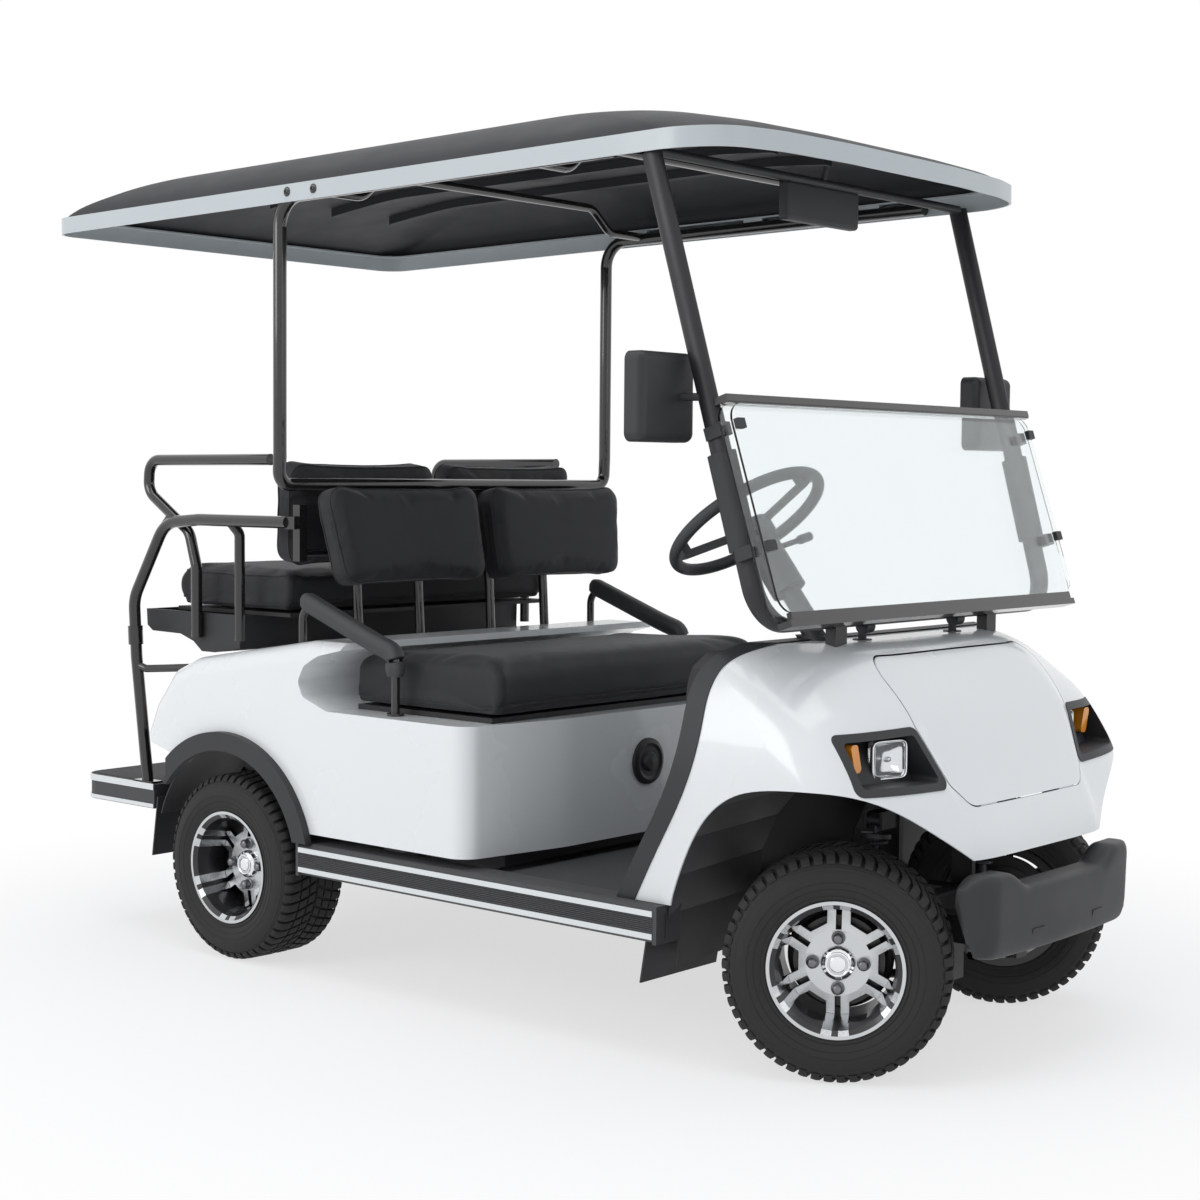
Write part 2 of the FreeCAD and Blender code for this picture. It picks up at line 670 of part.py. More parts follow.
for way in (-1, 1):
    half_frame.append(box(king_x + way * 19 - 3, king_x + way * 19 + 3, -tower_y - 66, -tower_y - 2, 468,
                          504))
    for middle, z, y0, z0, z1 in ((low_spread, low_pivot_z, d.nose_rail_y + 17, low_pivot_z - 14,
                                   rail_low + 4),
                                  (top_spread, top_pivot_z, d.nose_rail_y + 40, top_pivot_z - 12,
                                   top_pivot_z + 12)):
        for ear in (-1, 1):
            x = king_x + way * middle + ear * 25
            half_frame.append(box(x - 3, x + 3, -y0 - 12, -nose_in - 10, z0, z1))
        half_frame.append(cylinder(king_x + way * middle - 28, -y0, z, 6, 56, "X"))
    x = d.rear_axle_x + way * spring_half
    half_frame.append(box(x - 15, x + 15, -d.rail_y - 29, -d.rail_y - 23, spring_end_z - 8, kick_low + 4))
    half_frame.append(box(x - 15, x + 15, -d.rail_y + 23, -d.rail_y + 29, spring_end_z - 8, kick_low + 4))
    half_frame.append(cylinder(x, -d.rail_y - 29, spring_end_z + 7, 6, 58, "Y"))
half = fused(*half_frame)
cross = [box(570, 626, -inside - 4, inside + 4, rail_low, d.floor_z),
         box(120, 170, -inside - 4, inside + 4, rail_low, d.floor_z),
         box(bend - 60, bend - 20, -inside - 4, inside + 4, kick_low - 30, kick_low + 10),
         box(d.body_rear_x + 20, d.body_rear_x + 70, -inside - 4, inside + 4, kick_low, d.kick_z),
         box(nose_x - 40, nose_x, -nose_in - 4, nose_in + 4, rail_low, d.floor_z),
         box(nose_x - 6, nose_x, -nose_out - 60, nose_out + 60, rail_low, d.floor_z + 20),
         box(d.body_rear_x - 284, d.body_rear_x + 40, -32, 32, d.foot_top_z - d.foot_high - 22,
             d.foot_top_z - d.foot_high - 12),
         box(d.body_rear_x + 24, d.body_rear_x + 44, -32, 32, d.foot_top_z - d.foot_high - 22, kick_low + 6)]
tow_hole = cylinder(d.body_rear_x - 262, 0, d.foot_top_z - d.foot_high - 40, 9, 60)
# each cross member stops a hair short of its rails' short stubs, so that every member keeps its own shape
seam_y = inside - 5
seams = [box(d.body_rear_x - 300, nose_x + 10, way * seam_y - 0.2, way * seam_y + 0.2, 100,
             600) for way in (-1, 1)]
keep("chassis_frame", cut(fused(half, mirrored(half), *cross), tow_hole, *seams))

battery_x = size_of(-238)
keep("battery_pack", box(battery_x, battery_x + d.battery_long, -d.battery_wide / 2, d.battery_wide / 2,
                         d.floor_z + 0.3, d.floor_z + d.battery_high))


# rear body

# Side view of the tail, from the seat side's upper lip round the back to the rear arch.
lip_x = d.bench_back_x + 36
TAIL = [(lip_x, d.body_bottom), (lip_x, d.deck_z), (d.bench_back_x - 82, d.deck_z), (d.tail_x, d.tail_z),
        (d.tail_x - 85, d.tail_z - 35), (d.body_rear_x + 45, d.body_rear_z + 95),
        (d.body_rear_x, d.body_rear_z),
        (d.body_rear_x + 95, d.body_rear_z - 23), (-400, d.body_bottom)]
# which way the inner skin lies from each of those corners
TAIL_INWARD = [(-1, -1), (-1, -1), (0, -1), (0, -1), (0.5, -1), (1, -0.4), (1, 0), (0, -1), (0, -1)]


def across_at(*corners_xz):
    """Picks the edges along Y at the given corners of the side view."""
    def pick(edge):
        if not runs_along(edge, (0, 1, 0)):
            return False
        spot = edge.Vertexes[0].Point
        return any(abs(spot.x - float(x)) < 0.5 and abs(spot.z - float(z)) < 0.5 for x, z in corners_xz)
    return pick


def flank_at(half, low, back):
    """Picks the edges in the side faces that lie above a height and behind a place."""
    def pick(edge):
        ends = [vertex.Point for vertex in edge.Vertexes]
        flat = all(abs(abs(end.y) - float(half)) < 0.01 for end in ends)
        middle = edge.CenterOfMass
        return flat and middle.z > float(low) and middle.x < float(back)
    return pick


def tail_block(name, inset):
    """The tail of the body shell, drawn inward by inset: twice, to leave the moulded wall between."""
    block = Body(name)
    half = d.body_half - inset
    points = [(x + inset * way[0], z + inset * way[1]) for (x, z), way in zip(TAIL, TAIL_INWARD)]
    block.pad(block.polygon("XZ_Plane", points), 2 * half, symmetric=True)
    block.fillet(60 - inset, across_at(points[2], points[3]))
    block.fillet(50 - inset, across_at(points[4], points[5]))
    block.fillet(d.body_round - inset, flank_at(half, d.body_rear_z - 10, lip_x - 1))
    return block


SEAT_CUT = [(lip_x + 30, d.side_panel_z), (d.bench_back_x, d.side_panel_z),
            (d.bench_back_x - 84, d.side_panel_z + 28), (d.bench_back_x - 102, d.side_panel_z + 64),
            (d.bench_back_x - 80, d.side_panel_z + 102), (d.bench_back_x - 32, d.side_panel_z + 128),
            (lip_x, d.deck_z - 16), (lip_x + 30, d.deck_z - 16)]
SEAT_CUT_OUTWARD = [(1, -1), (0, -1), (-0.7, -1), (-1, 0), (-0.8, 0.8), (-0.3, 1), (0, 0.6), (1, 0.6)]


def seat_box(name, inset):
    """The box under the front bench, its front bowed forward, drawn inward by inset."""
    block = Body(name)
    half = d.body_half - inset
    front = d.body_front_x - inset
    bow = d.front_bow
    low = d.body_bottom - (1 if float(inset) else 0)
    plan = [(lip_x - 40, -half), (front, -half), (front + bow, -290), (front + bow, 290), (front, half),
            (lip_x - 40, half)]
    block.pad(block.polygon("XY_Plane", plan, offset=low), d.side_panel_z - inset - low)
    block.fillet(55 - inset, lambda edge: runs_along(edge, (0, 0, 1)) and at_corner(edge, *plan[1], *plan[4]))
    block.fillet(240, lambda edge: runs_along(edge, (0, 0, 1)) and at_corner(edge, *plan[2], *plan[3]))
    return block


def at_corner(edge, x0, y0, x1, y1):
    spot = edge.Vertexes[0].Point
    return any(abs(spot.x - float(x)) < 0.5 and abs(spot.y - float(y)) < 0.5 for x, y in ((x0, y0), (x1, y1)))


def seat_cut(name, grown):
    """The rounded cut-out of the flank beside the bench."""
    block = Body(name)
    points = [(x + grown * way[0], z + grown * way[1]) for (x, z), way in zip(SEAT_CUT, SEAT_CUT_OUTWARD)]
    block.pad(block.polygon("XZ_Plane", points), 3 * d.body_half, symmetric=True)
    block.fillet(22, across_at(*points[1:6]))
    return block


wall = d.body_wall
none = size_of(0)
skin = cut(fused(tail_block("tail_outer", none).body, seat_box("box_outer", none).body),
           seat_cut("cut", none).body)
room = cut(tail_block("tail_inner", wall).body, seat_cut("cut_grown", wall).body)
arch = cylinder(d.rear_arch_x, -d.body_half - 20, d.rear_arch_z, d.rear_arch_radius + 2,
                2 * d.body_half + 40, "Y")
port_z = d.side_panel_z - 125
port_x = d.body_front_x + d.front_bow
port_seat = cylinder(port_x - 30, 0, port_z, d.port_radius - 8, 60, "X")
keep("rear_body", cut(skin, room, seat_box("box_inner", wall).body, arch, port_seat))

# the socket's round cover, with its raised middle, set in the front of the seat box
port = Body("charge_port")
port_profile = [(-24, 0), (-24, d.port_radius - 9), (0.3, d.port_radius - 9), (0.3, d.port_radius),
                (7, d.port_radius - 1), (12, d.port_radius - 12), (9, d.port_radius - 20), (9, 24),
                (17, 20), (19, 0)]
port.revolve(port.polygon("XY_Plane", port_profile))
place(keep("charge_port", port.body), port_x, 0, port_z)

# rear arches: flares outside the flanks, liners inside, flaps behind the wheels

flare_low = d.step_top_z + 3


def arc_strip(radius, thick, y_low, y_high, x, z, low_z):
    """Part of a ring about (x, z), thick in radius, from y_low to y_high, above low_z."""
    outside = cylinder(x, y_low, z, radius + thick, y_high - y_low, "Y")
    inside_hole = cylinder(x, y_low - 1, z, radius, y_high - y_low + 2, "Y")
    below = box(x - 2 * radius, x + 2 * radius, y_low - 1, y_high + 1, z - 2 * radius, low_z)
    return cut(outside, inside_hole, below)


flare = arc_strip(d.rear_arch_radius, d.flare_width, d.body_half + 0.3, d.body_half + d.flare_out,
                  d.rear_arch_x, d.rear_arch_z, flare_low)
tail_trim = box(d.rear_arch_x - 2 * d.rear_arch_radius, d.rear_arch_x - d.rear_arch_radius + 60,
                d.body_half - 10,
                d.body_half + d.flare_out + 10, d.body_bottom - 200, d.rear_arch_z + 249)
flare = cut(flare, tail_trim)
keep("fender_flares", both_sides(flare))

# front cowl

# Level sections of the cowl: height, then x at the middle, (x, y) where the nose turns into the lamp
# corner, (x, y) at the corner, x where the corner runs into the flank, and the flank's half width.
COWL_LEVELS = [
    (296, 1268, (1254, 268), (1184, 470), 1064, 555),
    (350, 1268, (1254, 268), (1184, 474), 1063, 560),
    (400, 1267, (1252, 270), (1183, 479), 1061, 565),
    (446, 1261, (1244, 275), (1179, 487), 1057, 570),
    (500, 1245, (1226, 281), (1170, 499), 1050, 576),
    (580, 1206, (1190, 285), (1150, 513), 1030, 582),
    (640, 1178, (1162, 300), (1120, 508), 990, 578),
    (700, 1150, (1134, 310), (1082, 498), 940, 566),
    (760, 1112, (1094, 310), (1022, 478), 880, 548),
    (812, 1062, (1042, 310), (955, 455), 800, 526),
    (843, 1010, (985, 305), (890, 432), 740, 506),
    (857, 960, (932, 300), (845, 415), 710, 490),
]
COWL_BACK_EDGE = [(905, 905), (866, 862), (818, 812), (802, 760), (800, 700), (785, 610), (751, 534),
                  (693, 440),
                  (622, 320), (575, 240)]


def cowl_level(level, inset):
    """One level section: two flanks and a nose whose halves meet square at the middle."""
    z, nose, turn, corner, run_in, flank = level
    half = flank - inset
    points = [vec(run_in - inset, -half, 0), vec(corner[0] - inset, inset - corner[1], 0),
              vec(turn[0] - inset, -turn[1], 0), vec(nose - inset, 0, 0)]
    curve = Part.BSplineCurve()
    curve.interpolate(Points=points, InitialTangent=Vector(1, 0, 0), FinalTangent=Vector(0, 1, 0))
    side = curve.toShape()
    other = side.mirror(Vector(0, 0, 0), Vector(0, 1, 0))
    start = vec(400, -half, 0)
    end = vec(400, half, 0)
    lines = [Part.LineSegment(start, points[0]), Part.LineSegment(vec(run_in - inset, half, 0), end),
             Part.LineSegment(end, start)]
    flank_right, flank_left, back = [line.toShape() for line in lines]
    wire = Part.Wire([flank_right, side, other, flank_left, back])
    wire.translate(vec(0, 0, z - (inset if z > 850 else 0)))
    return wire


def cowl_form(inset):
    """The cowl's outer form, or the same form drawn inward by inset, as one closed solid."""
    levels = list(COWL_LEVELS)
    if inset > 0:
        levels[0] = (levels[0][0] - 10,) + levels[0][1:]
    return Part.makeLoft([cowl_level(level, inset) for level in levels], True, False)


def side_curve(points):
    curve = Part.BSplineCurve()
    curve.interpolate([vec(x, 0, z) for x, z in points])
    return curve.toShape()


def behind_edge(shift):
    """All that lies behind the cowl's back edge, in side view, moved forward by shift."""
    edge = side_curve([(x + shift, z) for x, z in COWL_BACK_EDGE])
    first = edge.Vertexes[0].Point
    last = edge.Vertexes[-1].Point
    far = [Vector(300, 0, last.z), Vector(300, 0, first.z)]
    lines = [Part.LineSegment(last, far[0]), Part.LineSegment(far[0], far[1]),
             Part.LineSegment(far[1], first)]
    face = Part.Face(Part.Wire([edge] + [line.toShape() for line in lines]))
    solid = face.extrude(Vector(0, 1400, 0))
    solid.translate(Vector(0, -700, 0))
    return solid


def outline_wire(points, radius=0.0):
    """A closed wire through points, its corners rounded by radius (one for all, or a list), less by a short side."""
    count = len(points)
    wanted = radius if isinstance(radius, list) else [radius] * count
    edges = []
    marks = []
    for i in range(count):
        before = points[i - 1] - points[i]
        after = points[(i + 1) % count] - points[i]
        half = before.getAngle(after) / 2
        reach = min(wanted[i] / math.tan(half), 0.45 * before.Length, 0.45 * after.Length)
        before.normalize()
        after.normalize()
        size = reach * math.tan(half)
        inward = (before + after).normalize()
        middle = points[i] + inward * (size / math.sin(half) - size)
        marks.append((points[i] + before * reach, middle, points[i] + after * reach))
    for i in range(count):
        if wanted[i] > 0:
            edges.append(Part.Arc(*marks[i]).toShape())
        edges.append(Part.LineSegment(marks[i][2], marks[(i + 1) % count][0]).toShape())
    return Part.Wire(edges)


def prism_x(points, radius, x0, x1):
    """A rounded outline of (y, z) points, extruded along X."""
    wire = outline_wire([vec(x0, y, z) for y, z in points], float(radius))
    return Part.Face(wire).extrude(vec(x1 - x0, 0, 0))


def prism_y(points, radius, y0, y1):
    """A rounded outline of (x, z) points, extruded along Y."""
    wire = outline_wire([vec(x, y0, z) for x, z in points], float(radius))
    return Part.Face(wire).extrude(vec(0, y1 - y0, 0))


def prism_z(points, radius, z0, z1):
    """A rounded outline of (x, y) points, extruded along Z."""
    wire = outline_wire([vec(x, y, z0) for x, y in points], float(radius))
    return Part.Face(wire).extrude(vec(0, 0, z1 - z0))


def grown(points, amount):
    """A polygon of two-number points, moved outward by amount on every side."""
    count = len(points)
    area = sum(float(points[i][0]) * float(points[(i + 1) % count][1])
               - float(points[(i + 1) % count][0]) * float(points[i][1]) for i in range(count))
    turn = 1 if area > 0 else -1
    moved = []
    for i in range(count):
        here = vec(*points[i], 0)
        back = (here - vec(*points[i - 1], 0)).normalize()
        ahead = (vec(*points[(i + 1) % count], 0) - here).normalize()
        out_back = Vector(back.y, -back.x, 0) * turn
        out_ahead = Vector(ahead.y, -ahead.x, 0) * turn
        bisector = (out_back + out_ahead).normalize()
        moved.append(here + bisector * (float(amount) / bisector.dot(out_back)))
    return [(point.x, point.y) for point in moved]


def moved_z(shape, shift):
    copy = shape.copy()
    copy.translate(vec(0, 0, shift))
    return copy


def moved_x(shape, shift):
    copy = shape.copy()
    copy.translate(vec(shift, 0, 0))
    return copy


# In front view: the bonnet between the lamps, and one lamp's opening on the right side.
BONNET = [(-318, 836), (-308, 700), (-268, 585), (-226, 540), (226, 540), (268, 585), (308, 700), (318, 836)]
LAMP = [(-518, 698), (-312, 703), (-268, 579), (-524, 584)]
# In side view: the front arch's edge, and its height further round the nose, by distance from the middle.
ARCH_EDGE = [(704, 200), (708, 262), (717, 326), (740, 388), (777, 460), (822, 520), (886, 566), (974, 588),
             (1060, 594)]
ARCH_TOPS = [(-660, 600), (-575, 598), (-515, 582), (-400, 529), (-263, 442)]


def arch_section(y, top):
    """The arch's outline at y, with its height scaled to top; a smooth edge and three straight sides."""
    foot = ARCH_EDGE[0][1]
    share = (top - foot) / (ARCH_TOPS[0][1] - foot)
    points = [vec(x, y, foot + (z - foot) * share) for x, z in ARCH_EDGE] + [vec(1200, y, top),
                                                                             vec(1420, y, top)]
    curve = Part.BSplineCurve()
    curve.interpolate(Points=points, InitialTangent=Vector(0, 0, 1), FinalTangent=Vector(1, 0, 0))
    low = vec(1420, y, foot)
    return Part.Wire([curve.toShape(), Part.LineSegment(points[-1], low).toShape(),
                      Part.LineSegment(low, points[0]).toShape()])


def arch_tool():
    """Cuts one front wheel's arch: it rises from the nose's lower corner out to the flank."""
    return Part.makeLoft([arch_section(y, top) for y, top in ARCH_TOPS], True, False)


wall = float(d.cowl_wall)
gap_wide = float(d.panel_gap)
form = cowl_form(0)
skin = form.cut([cowl_form(wall), behind_edge(0)])
arch = arch_tool()
under_nose = Part.makeBox(700, 2 * float(d.arch_nose_y) + 2, 300,
                          vec(740, -d.arch_nose_y - 1, d.cowl_bottom_z - 300))
lamp_hole = prism_x(grown(LAMP, 0.4), 16, 960, 1300)
bonnet_hole = prism_x(BONNET, 46, 900, 1300)
bonnet_panel = prism_x(grown(BONNET, -gap_wide), 46 - gap_wide, 900, 1300)
column_axis = Vector(math.sin(math.radians(float(d.wheel_tilt))), 0,
                     -math.cos(math.radians(float(d.wheel_tilt))))
column_way = Part.makeCylinder(float(d.column_radius) + 2, 460, vec(d.wheel_x, d.wheel_y, d.wheel_z),
                               column_axis)
over_step = Part.makeBox(400, 1400, 400, vec(400, -700, d.step_top_z - 397.5))
cowl = skin.cut([arch, flip(arch), under_nose, lamp_hole, flip(lamp_hole), bonnet_hole, column_way,
                 over_step])
# four tabs behind the bonnet's edges, which it rests on
tab_skin = cowl_form(wall + 0.3).cut(cowl_form(wall + 3))
tab_root = cowl_form(wall - 1).cut(cowl_form(wall + 3))
tabs = []
for y, z0, z1 in ((-190, 505, 552), (130, 505, 552)):
    zone = Part.makeBox(400, 60, z1 - z0, vec(900, y, z0))
    tabs.append(tab_skin.common(zone).fuse(tab_root.common(zone).cut(bonnet_hole)))
cowl = cowl.fuse(tabs)
keep("front_cowl", shaped(cowl))
keep("bonnet", shaped(skin.common(bonnet_panel)))

# the black lamp cups follow the cowl's surface, with a rim that stands a little proud
cup = moved_x(form, 2.5).common(prism_x(LAMP, 16, 960, 1300)).cut(moved_x(form, -75))
hollow = moved_x(form, 20).common(prism_x(grown(LAMP, -15), 10, 960, 1320)).cut(moved_x(form, -62))
lamp_lens = Part.makeBox(14, float(d.lamp_wide), float(d.lamp_high),
                         vec(-7, -d.lamp_wide / 2, -d.lamp_high / 2))
lamp_lens = lamp_lens.makeFillet(7, [edge for edge in lamp_lens.Edges if runs_along(edge, (1, 0, 0))])
lamp_lens.rotate(Vector(0, 0, 0), Vector(0, 0, 1), -float(d.lamp_turn))
lamp_lens.translate(vec(d.lamp_x, -d.lamp_y, d.lamp_z))
signal = prism_x([(-487, 678), (-462, 678), (-446, 622), (-470, 622)], 9, 1050, 1102)
cup = cup.cut([hollow, lamp_lens, signal])
keep("headlamp_bezels", shaped(pair(cup)))
keep("headlamp_lenses", shaped(pair(lamp_lens)))
keep("indicator_lenses", shaped(pair(signal)))

# dark trim along the cowl's back edge, over the top and down both flanks
band = behind_edge(-0.3).cut(behind_edge(-float(d.trim_width)))
trim = cowl_form(-3).cut(cowl_form(float(d.trim_thick))).common(band).cut([over_step, column_way])
keep("cowl_trim", shaped(trim))

# floor, running boards and front inner panels

floor = Body("floor_sheet")
floor_back = d.body_front_x - 30
toe_x = d.cowl_back_low_x + 70
floor_profile = [(floor_back, d.floor_z + 0.3), (toe_x, d.floor_z + 0.3), (toe_x + 105, d.floor_z + 290),
                 (toe_x + 99, d.floor_z + 293), (toe_x - 4, d.floor_z + d.floor_thick),
                 (floor_back, d.floor_z + d.floor_thick)]
floor.pad(floor.polygon("XZ_Plane", floor_profile), 2 * d.floor_half, symmetric=True)
before_cowl = box(floor_back - 10, toe_x + 2, -d.floor_half - 5, d.floor_half + 5, d.floor_z - 5,
                  d.floor_z + 20)
within = fused(before_cowl, shaped(cowl_form(wall + 1)))
keep("floor_pan", common(floor.body, within))

mat = Body("floor_mat")
mat_low = d.floor_z + d.floor_thick + 0.3
mat_back = d.body_front_x + d.front_bow + 6
mat.pad(mat.polygon("XY_Plane", [(mat_back, -d.floor_half + 4), (toe_x - 14, -d.floor_half + 4),
                                 (toe_x - 14, d.floor_half - 4), (mat_back, d.floor_half - 4)],
                                 offset=mat_low), d.mat_thick)
keep("floor_mat", mat.body)

# running boards: a moulded ribbed sill with a bright strip along its upper and lower edge
step_out_y = d.body_half + d.step_proud
step_in = step_out_y - d.step_wide
step = Body("step")
step.pad(step.polygon("YZ_Plane", [(-step_out_y, d.step_low_z + 8), (-step_out_y, d.step_top_z - 6),
                                   (-step_out_y + 6, d.step_top_z), (-step_in, d.step_top_z),
                                   (-step_in, d.step_top_z - 8), (-step_out_y + 12, d.step_top_z - 8),
                                   (-step_out_y + 12, d.step_low_z + 8), (-step_in, d.step_low_z + 8),
                                   (-step_in, d.step_low_z), (-step_out_y + 8, d.step_low_z)],
                      offset=d.step_back_x), d.step_front_x - d.step_back_x)
caps = [box(x, x + 10, -step_out_y - 2, -step_in - 1, d.step_low_z - 2, d.step_top_z + 2)
        for x in (d.step_front_x + 0.3, d.step_back_x - 10.3)]
keep("running_boards", both_sides(together(step.body, *caps)))
strip_ends = (d.step_back_x, d.step_front_x)
strips = [box(*strip_ends, -step_out_y - d.strip_thick - 0.3, -step_out_y - 0.3, z, z + 12)
          for z in (d.step_low_z + 8, d.step_top_z - 20)]
step_strips = both_sides(together(*strips))
hangers = [box(x, x + 40, -step_in, -d.rail_y - d.rail_wide / 2, d.floor_z - 34, d.floor_z - 26)
           for x in (-300, 170, 570)]
step_hangers = both_sides(together(*hangers))

dash_form = prism_y([(822, 846), (796, 846), (752, 838), (716, 800), (722, 700), (742, 622), (790, 612),
                     (838, 700),
                     (838, 840)], 16, -520, 520)
dash_form = dash_form.common(cowl_form(float(d.trim_thick) + 0.5)).cut(behind_edge(-float(d.trim_width) - 30))
boxes_in_dash = [prism_x([(-430, 815), (-300, 815), (-300, 722), (-430, 722)], 18, 680, 790),
                 prism_x([(60, 815), (440, 815), (440, 700), (60, 700)], 22, 680, 790)]
dash = dash_form.cut(boxes_in_dash + [column_way])
keep("dashboard", shaped(dash))

# front bumper

# In plan, back from the foremost point; in side view, the line that clears the steered tyres.
BUMPER_PLAN = [(-128, -330), (-72, -328), (-28, -268), (-12, -215), (0, 0), (-12, 215), (-28, 268),
               (-72, 328), (-128, 330)]
BUMPER_BACK = [(-53, 200), (-53, 278), (-62, 310), (-80, 350), (-100, 392), (-100, 420), (-260, 420),
               (-260, 200)]
bumper_x = float(d.bumper_front_x) - 8.3


def bumper_form(inset):
    """The bumper's outer form in plan and height, or drawn inward by inset."""
    low = float(d.bumper_low_z) + inset
    high = float(d.bumper_top_z) - inset
    plan = [(bumper_x + x - inset, y * (1 - inset / 330)) for x, y in BUMPER_PLAN]
    plan[0] = (plan[0][0] - (30 if inset else 0), plan[0][1])
    plan[-1] = (plan[-1][0] - (30 if inset else 0), plan[-1][1])
    ease = [(26, 0.0), (9, 0.06), (0, 0.16), (0, 0.8), (8, 0.92), (26, 1.0)]
    sections = []
    for back, share in ease:
        z = low + (high - low) * share
        ring_points = [vec(x - back if x > bumper_x - 90 else x, y * (1 - back / 600), z) for x, y in plan]
        curve = Part.BSplineCurve()
        curve.interpolate(ring_points)
        close = Part.LineSegment(ring_points[-1], ring_points[0])
        sections.append(Part.Wire([curve.toShape(), close.toShape()]))
    return Part.makeLoft(sections, True, False)


tyre_way = prism_y([(bumper_x + 8 + x, z) for x, z in BUMPER_BACK], 0, -500, 500)
inner_bumper = bumper_form(float(d.bumper_wall))
bumper = bumper_form(0).cut([inner_bumper, tyre_way])
keep("front_bumper", shaped(bumper))
stays = [Part.makeBox(80, float(d.rail_wide) - 6, 36, vec(nose_x, y - d.rail_wide / 2 + 3, d.floor_z - 38))
         for y in (-d.nose_rail_y, d.nose_rail_y)]
stay_zone = bumper_form(float(d.bumper_wall) + 0.3)
bumper_stays = shaped(Part.makeCompound([stay.common(stay_zone) for stay in stays]))

# roof

# One half of the roof's outline in front, from the side to the middle: how far behind the foremost line, the
# share of the half width, and the corner's radius.
ROOF_FRONT = [(143, 1, 260), (53, 0.91, 170), (19, 0.7, 300), (3, 0.33, 900)]
# The dome's levels: share of the crown's height, then how far the outline lies in at the sides and ends.
ROOF_RISE = [(0, 8, 8), (0.14, 14, 34), (0.34, 30, 96), (0.56, 58, 190), (0.76, 98, 310), (0.91, 160, 450),
             (1, 260, 600)]


def roof_level(z, inset, at_ends=None):
    """The roof's outline, drawn inward by inset, or by at_ends before and behind."""
    at_ends = inset if at_ends is None else at_ends
    half = float(d.roof_half) - inset
    back = float(d.roof_back_x) + at_ends
    front = float(d.roof_front_x) - at_ends
    right = [(back, -half, float(d.roof_corner))] + [(front - x, -half * share, r) for x, share,
                                                     r in ROOF_FRONT]
    left = [(x, -y, r) for x, y, r in reversed(right)]
    return outline_wire([vec(x, y, z) for x, y, r in right + left], [r for x, y, r in right + left])


def roof_dome(inset):
    """The domed shell's outer form, or drawn inward by inset."""
    low = float(d.band_low_z + d.band_high) + 0.3
    rise = float(d.roof_crown)
    return Part.makeLoft([roof_level(low + rise * share - (inset if share else inset * 2.5), side + inset,
                                     end + inset)
                          for share, side, end in ROOF_RISE], True, False)


roof_pivot = vec(-380, 0, d.band_low_z + 26)


def pitched(shape):
    """The roof and what carries it stand a little higher in front."""
    copy = shape.copy()
    copy.rotate(roof_pivot, Vector(0, 1, 0), -float(d.roof_pitch))
    return copy


def on_roof(x, y, z):
    """A point of the level roof, where the pitch puts it."""
    point = Part.Vertex(vec(x, y, z))
    return tuple(pitched(point).Point)


roof_wall = float(d.roof_wall)
dome = roof_dome(0)
under = roof_dome(roof_wall)
keep("roof_shell", shaped(pitched(dome.cut(under))))
band_top = d.band_low_z + d.band_high
band_wall = float(d.band_wall)


def roof_ring(z, high, outer, inner):
    """A ring that follows the roof's outline, from outer to inner inset."""
    outlines = [roof_level(float(z), outer), roof_level(float(z), inner)]
    return Part.makeFace(outlines, "Part::FaceMakerBullseye").extrude(vec(0, 0, high))


lowered = under.copy()
lowered.translate(vec(0, 0, -20))
ribs = [Part.makeBox(1500, 28, 260, vec(-1030, y - 14, band_top - 60)).common(under).cut(lowered)
        for y in (-330, -110, 110, 330)]
keep("roof_ribs", shaped(pitched(Part.makeCompound([solid for rib in ribs for solid in rib.Solids]))))

# roof posts, windshield frame, glass and mirrors

roof_run_z = d.band_low_z + 17
# feet below the band's ledge, which carry the roof on the side tubes
roof_feet = [Part.makeBox(60, 20, 14, vec(x - 30, -d.post_y - 10, band_top - 16)) for x in (-330, 60, 420)]
side_way = Part.makeCylinder(float(d.post_radius) + 0.3, 1400, vec(-700, -d.post_y, roof_run_z),
                             Vector(1, 0, 0))
roof_foot_tops = pair(*[one.cut(side_way) for one in roof_feet])
band_ledge = 4
band_ring = roof_ring(d.band_low_z, d.band_high - band_ledge, 0, band_wall)
ledge_ring = roof_ring(band_top - band_ledge, band_ledge, 0, 34)
keep("roof_band", shaped(pitched(band_ring.fuse([ledge_ring] + list(roof_foot_tops.Solids)))))
frame_x = size_of(-453)
frame_top = d.front_back_top_z - 14
post = tube([(frame_x, -380, frame_top), (frame_x, -d.post_y, frame_top),
             (d.post_x, -d.post_y, frame_top + 74),
             on_roof(d.post_x, -d.post_y, roof_run_z), on_roof(d.hoop_top_x - 96, -d.post_y, roof_run_z)],
            d.post_radius, d.post_bend)


def roof_bar(x):
    """A bar under the roof, high in the middle, down to a flat foot on each side."""
    half = float(d.post_y - d.post_radius) + 5
    return tube([(x, -half, roof_run_z + 4), (x, -half + 130, roof_run_z + 4),
                 (x, -half + 200, roof_run_z + 62),
                 (x, half - 200, roof_run_z + 62), (x, half - 130, roof_run_z + 4),
                 (x, half, roof_run_z + 4)], 11, 50)


keep("roof_posts", shaped(melted(post, flip(post), pitched(roof_bar(-320)), pitched(roof_bar(330)))))


def oval(centre, along, wide, thick, across):
    """A flat oval wire square to along, its long side along across."""
    side = Vector(*across).normalize()
    other = Vector(along).normalize().cross(side)
    a = side * (float(wide) / 2)
    b = other * (float(thick) / 2)
    if a.Length < b.Length:
        a, b = b, a
    ellipse = Part.Ellipse(centre + a, centre + b, centre)
    return Part.Wire([ellipse.toShape()])


